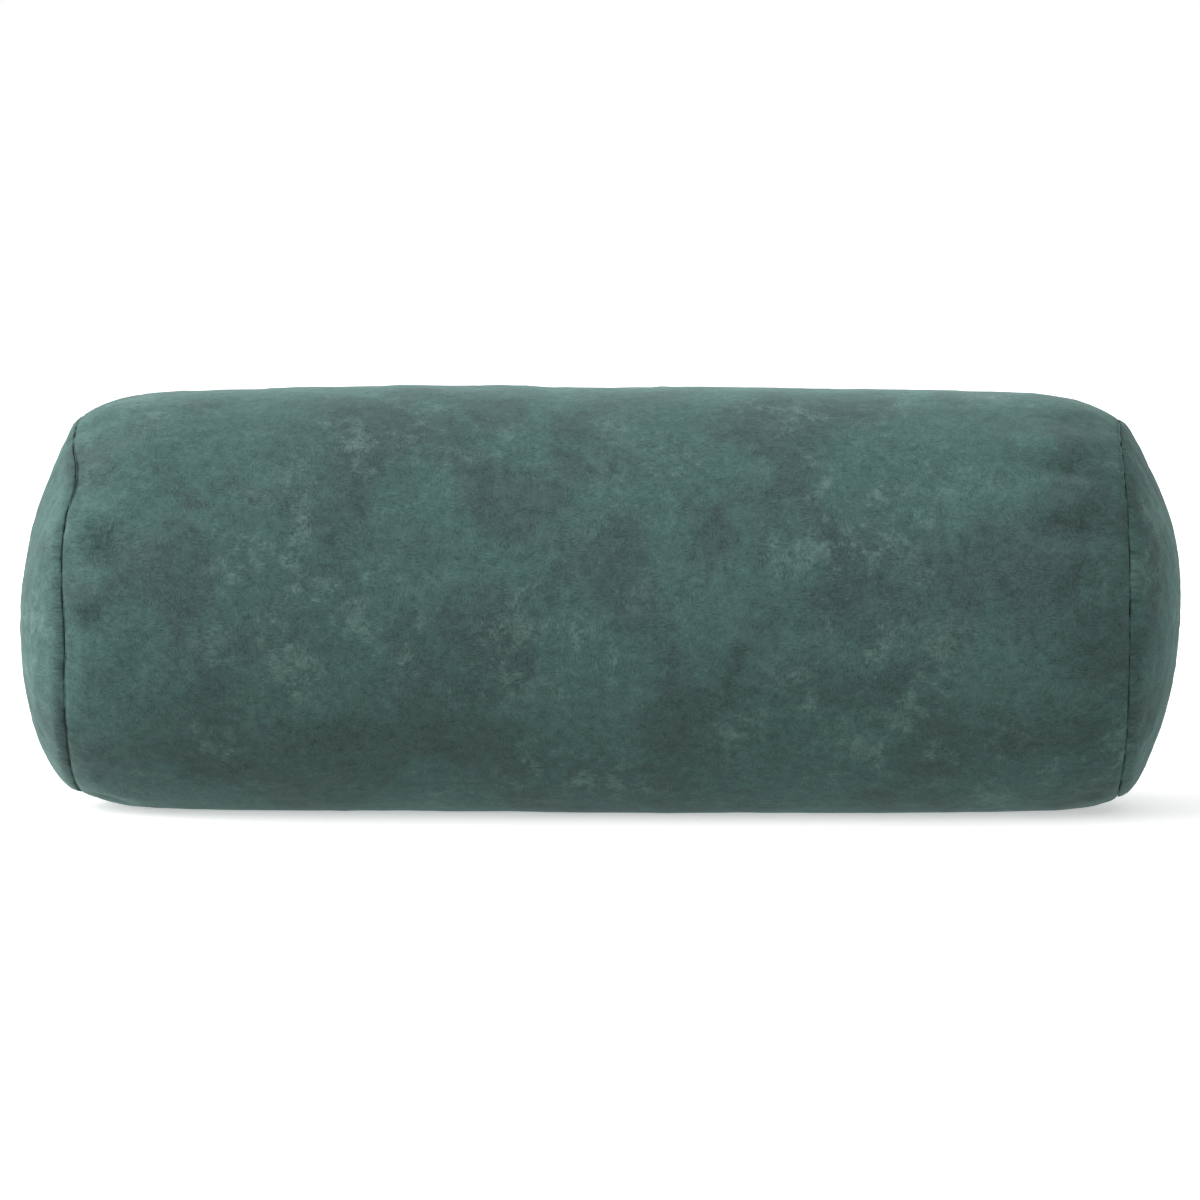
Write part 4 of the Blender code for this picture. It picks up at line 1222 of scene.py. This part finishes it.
def direction(azimuth, elevation):
    """Towards a place round the pillow, in degrees: azimuth 0 is the front, 90 the right."""
    a, e = math.radians(azimuth), math.radians(elevation)
    return Vector((math.sin(a) * math.cos(e), -math.cos(a) * math.cos(e), math.sin(e)))


def add_sun(name, azimuth, elevation, strength, softness):
    """A soft light from a direction."""
    light = bpy.data.lights.new(name, "SUN")
    light.energy = strength
    light.angle = math.radians(softness)
    lamp = bpy.data.objects.new(name, light)
    lamp.rotation_mode = "QUATERNION"
    lamp.rotation_quaternion = direction(azimuth, elevation).to_track_quat("Z", "Y")
    bpy.context.scene.collection.objects.link(lamp)


def add_world(light, seen):
    """A white world that lights with one strength and is seen with another."""
    world = bpy.data.worlds.new("studio")
    bpy.context.scene.world = world
    world.use_nodes = True
    tree = world.node_tree
    ambient, backdrop = tree.nodes["Background"], tree.nodes.new("ShaderNodeBackground")
    for background, strength in ((ambient, light), (backdrop, seen)):
        background.inputs["Color"].default_value = (1, 1, 1, 1)
        background.inputs["Strength"].default_value = strength
    path = tree.nodes.new("ShaderNodeLightPath")
    mix = tree.nodes.new("ShaderNodeMixShader")
    tree.links.new(path.outputs["Is Camera Ray"], mix.inputs[0])
    tree.links.new(ambient.outputs[0], mix.inputs[1])
    tree.links.new(backdrop.outputs[0], mix.inputs[2])
    tree.links.new(mix.outputs[0], tree.nodes["World Output"].inputs["Surface"])


def add_floor():
    """A plain pale floor, far wider than any view of the pillow."""
    reach = 60.0
    mesh = bpy.data.meshes.new("floor")
    corners = [(-reach, -reach, 0), (reach, -reach, 0), (reach, reach, 0), (-reach, reach, 0)]
    mesh.from_pydata(corners, [], [(0, 1, 2, 3)])
    n = Nodes("floor_paint", roughness=0.9)
    tone = n.noise(n.object_place(), 3, 3)
    n.shader.inputs["Emission Color"].default_value = (1, 1, 1, 1)
    n.shader.inputs["Emission Strength"].default_value = 0.45
    mesh.materials.append(n.finish(n.mix(tone, (0.93, 0.93, 0.925), (0.95, 0.95, 0.945))))
    floor = bpy.data.objects.new("floor", mesh)
    floor.location.z = -0.1 * MM
    floor.visible_diffuse = False
    bpy.context.scene.collection.objects.link(floor)


def add_camera():
    """A long lens from the front, a little above and to the right of the pillow's middle."""
    distance, back = 3.0, direction(1.8, 4)
    data = bpy.data.cameras.new("camera")
    data.lens, data.sensor_width = 173.3, 36
    data.clip_end = 200
    camera = bpy.data.objects.new("camera", data)
    camera.location = Vector((0, 0, 0.1078)) + back * distance
    camera.rotation_mode = "QUATERNION"
    camera.rotation_quaternion = back.to_track_quat("Z", "Y")
    bpy.context.scene.collection.objects.link(camera)
    bpy.context.scene.camera = camera


# ---------------------------------------------------------------- the scene

add_camera()
add_floor()
add_world(light=0.50, seen=1.0)
add_sun("key", -80, 18, 4.4, 56)
add_sun("fill", 15, 30, 0.6, 70)
add_sun("back", -150, 50, 0.4, 90)
bpy.context.scene.view_settings.view_transform = "Standard"

velvet = velvet_material()
thread = thread_material("thread", (0.075, 0.140, 0.128), (0.110, 0.190, 0.175))
case_thread = thread_material("case_thread", (0.72, 0.71, 0.69), (0.84, 0.83, 0.81))
metal = metal_material()

simulate()
add_velvet_tube(velvet)
for end_name, end_side in ENDS:
    add_velvet_end(f"cover_end_{end_name}", end_side, f"end_panel_{end_name}", velvet)
add_inner_case(plain_weave_material("case_cloth", (0.80, 0.79, 0.76), (0.66, 0.65, 0.62), 700))
add_filling(fibre_material())
add_seam_stitching(thread, case_thread)
add_coils(coil_material())
add_tapes(tape_material())
add_zip_threads(thread)
add_stops(metal)
add_slider(metal)
add_pull(metal)
add_label(plain_weave_material("label", (0.82, 0.81, 0.78), (0.70, 0.69, 0.66), 1500, 0.3))
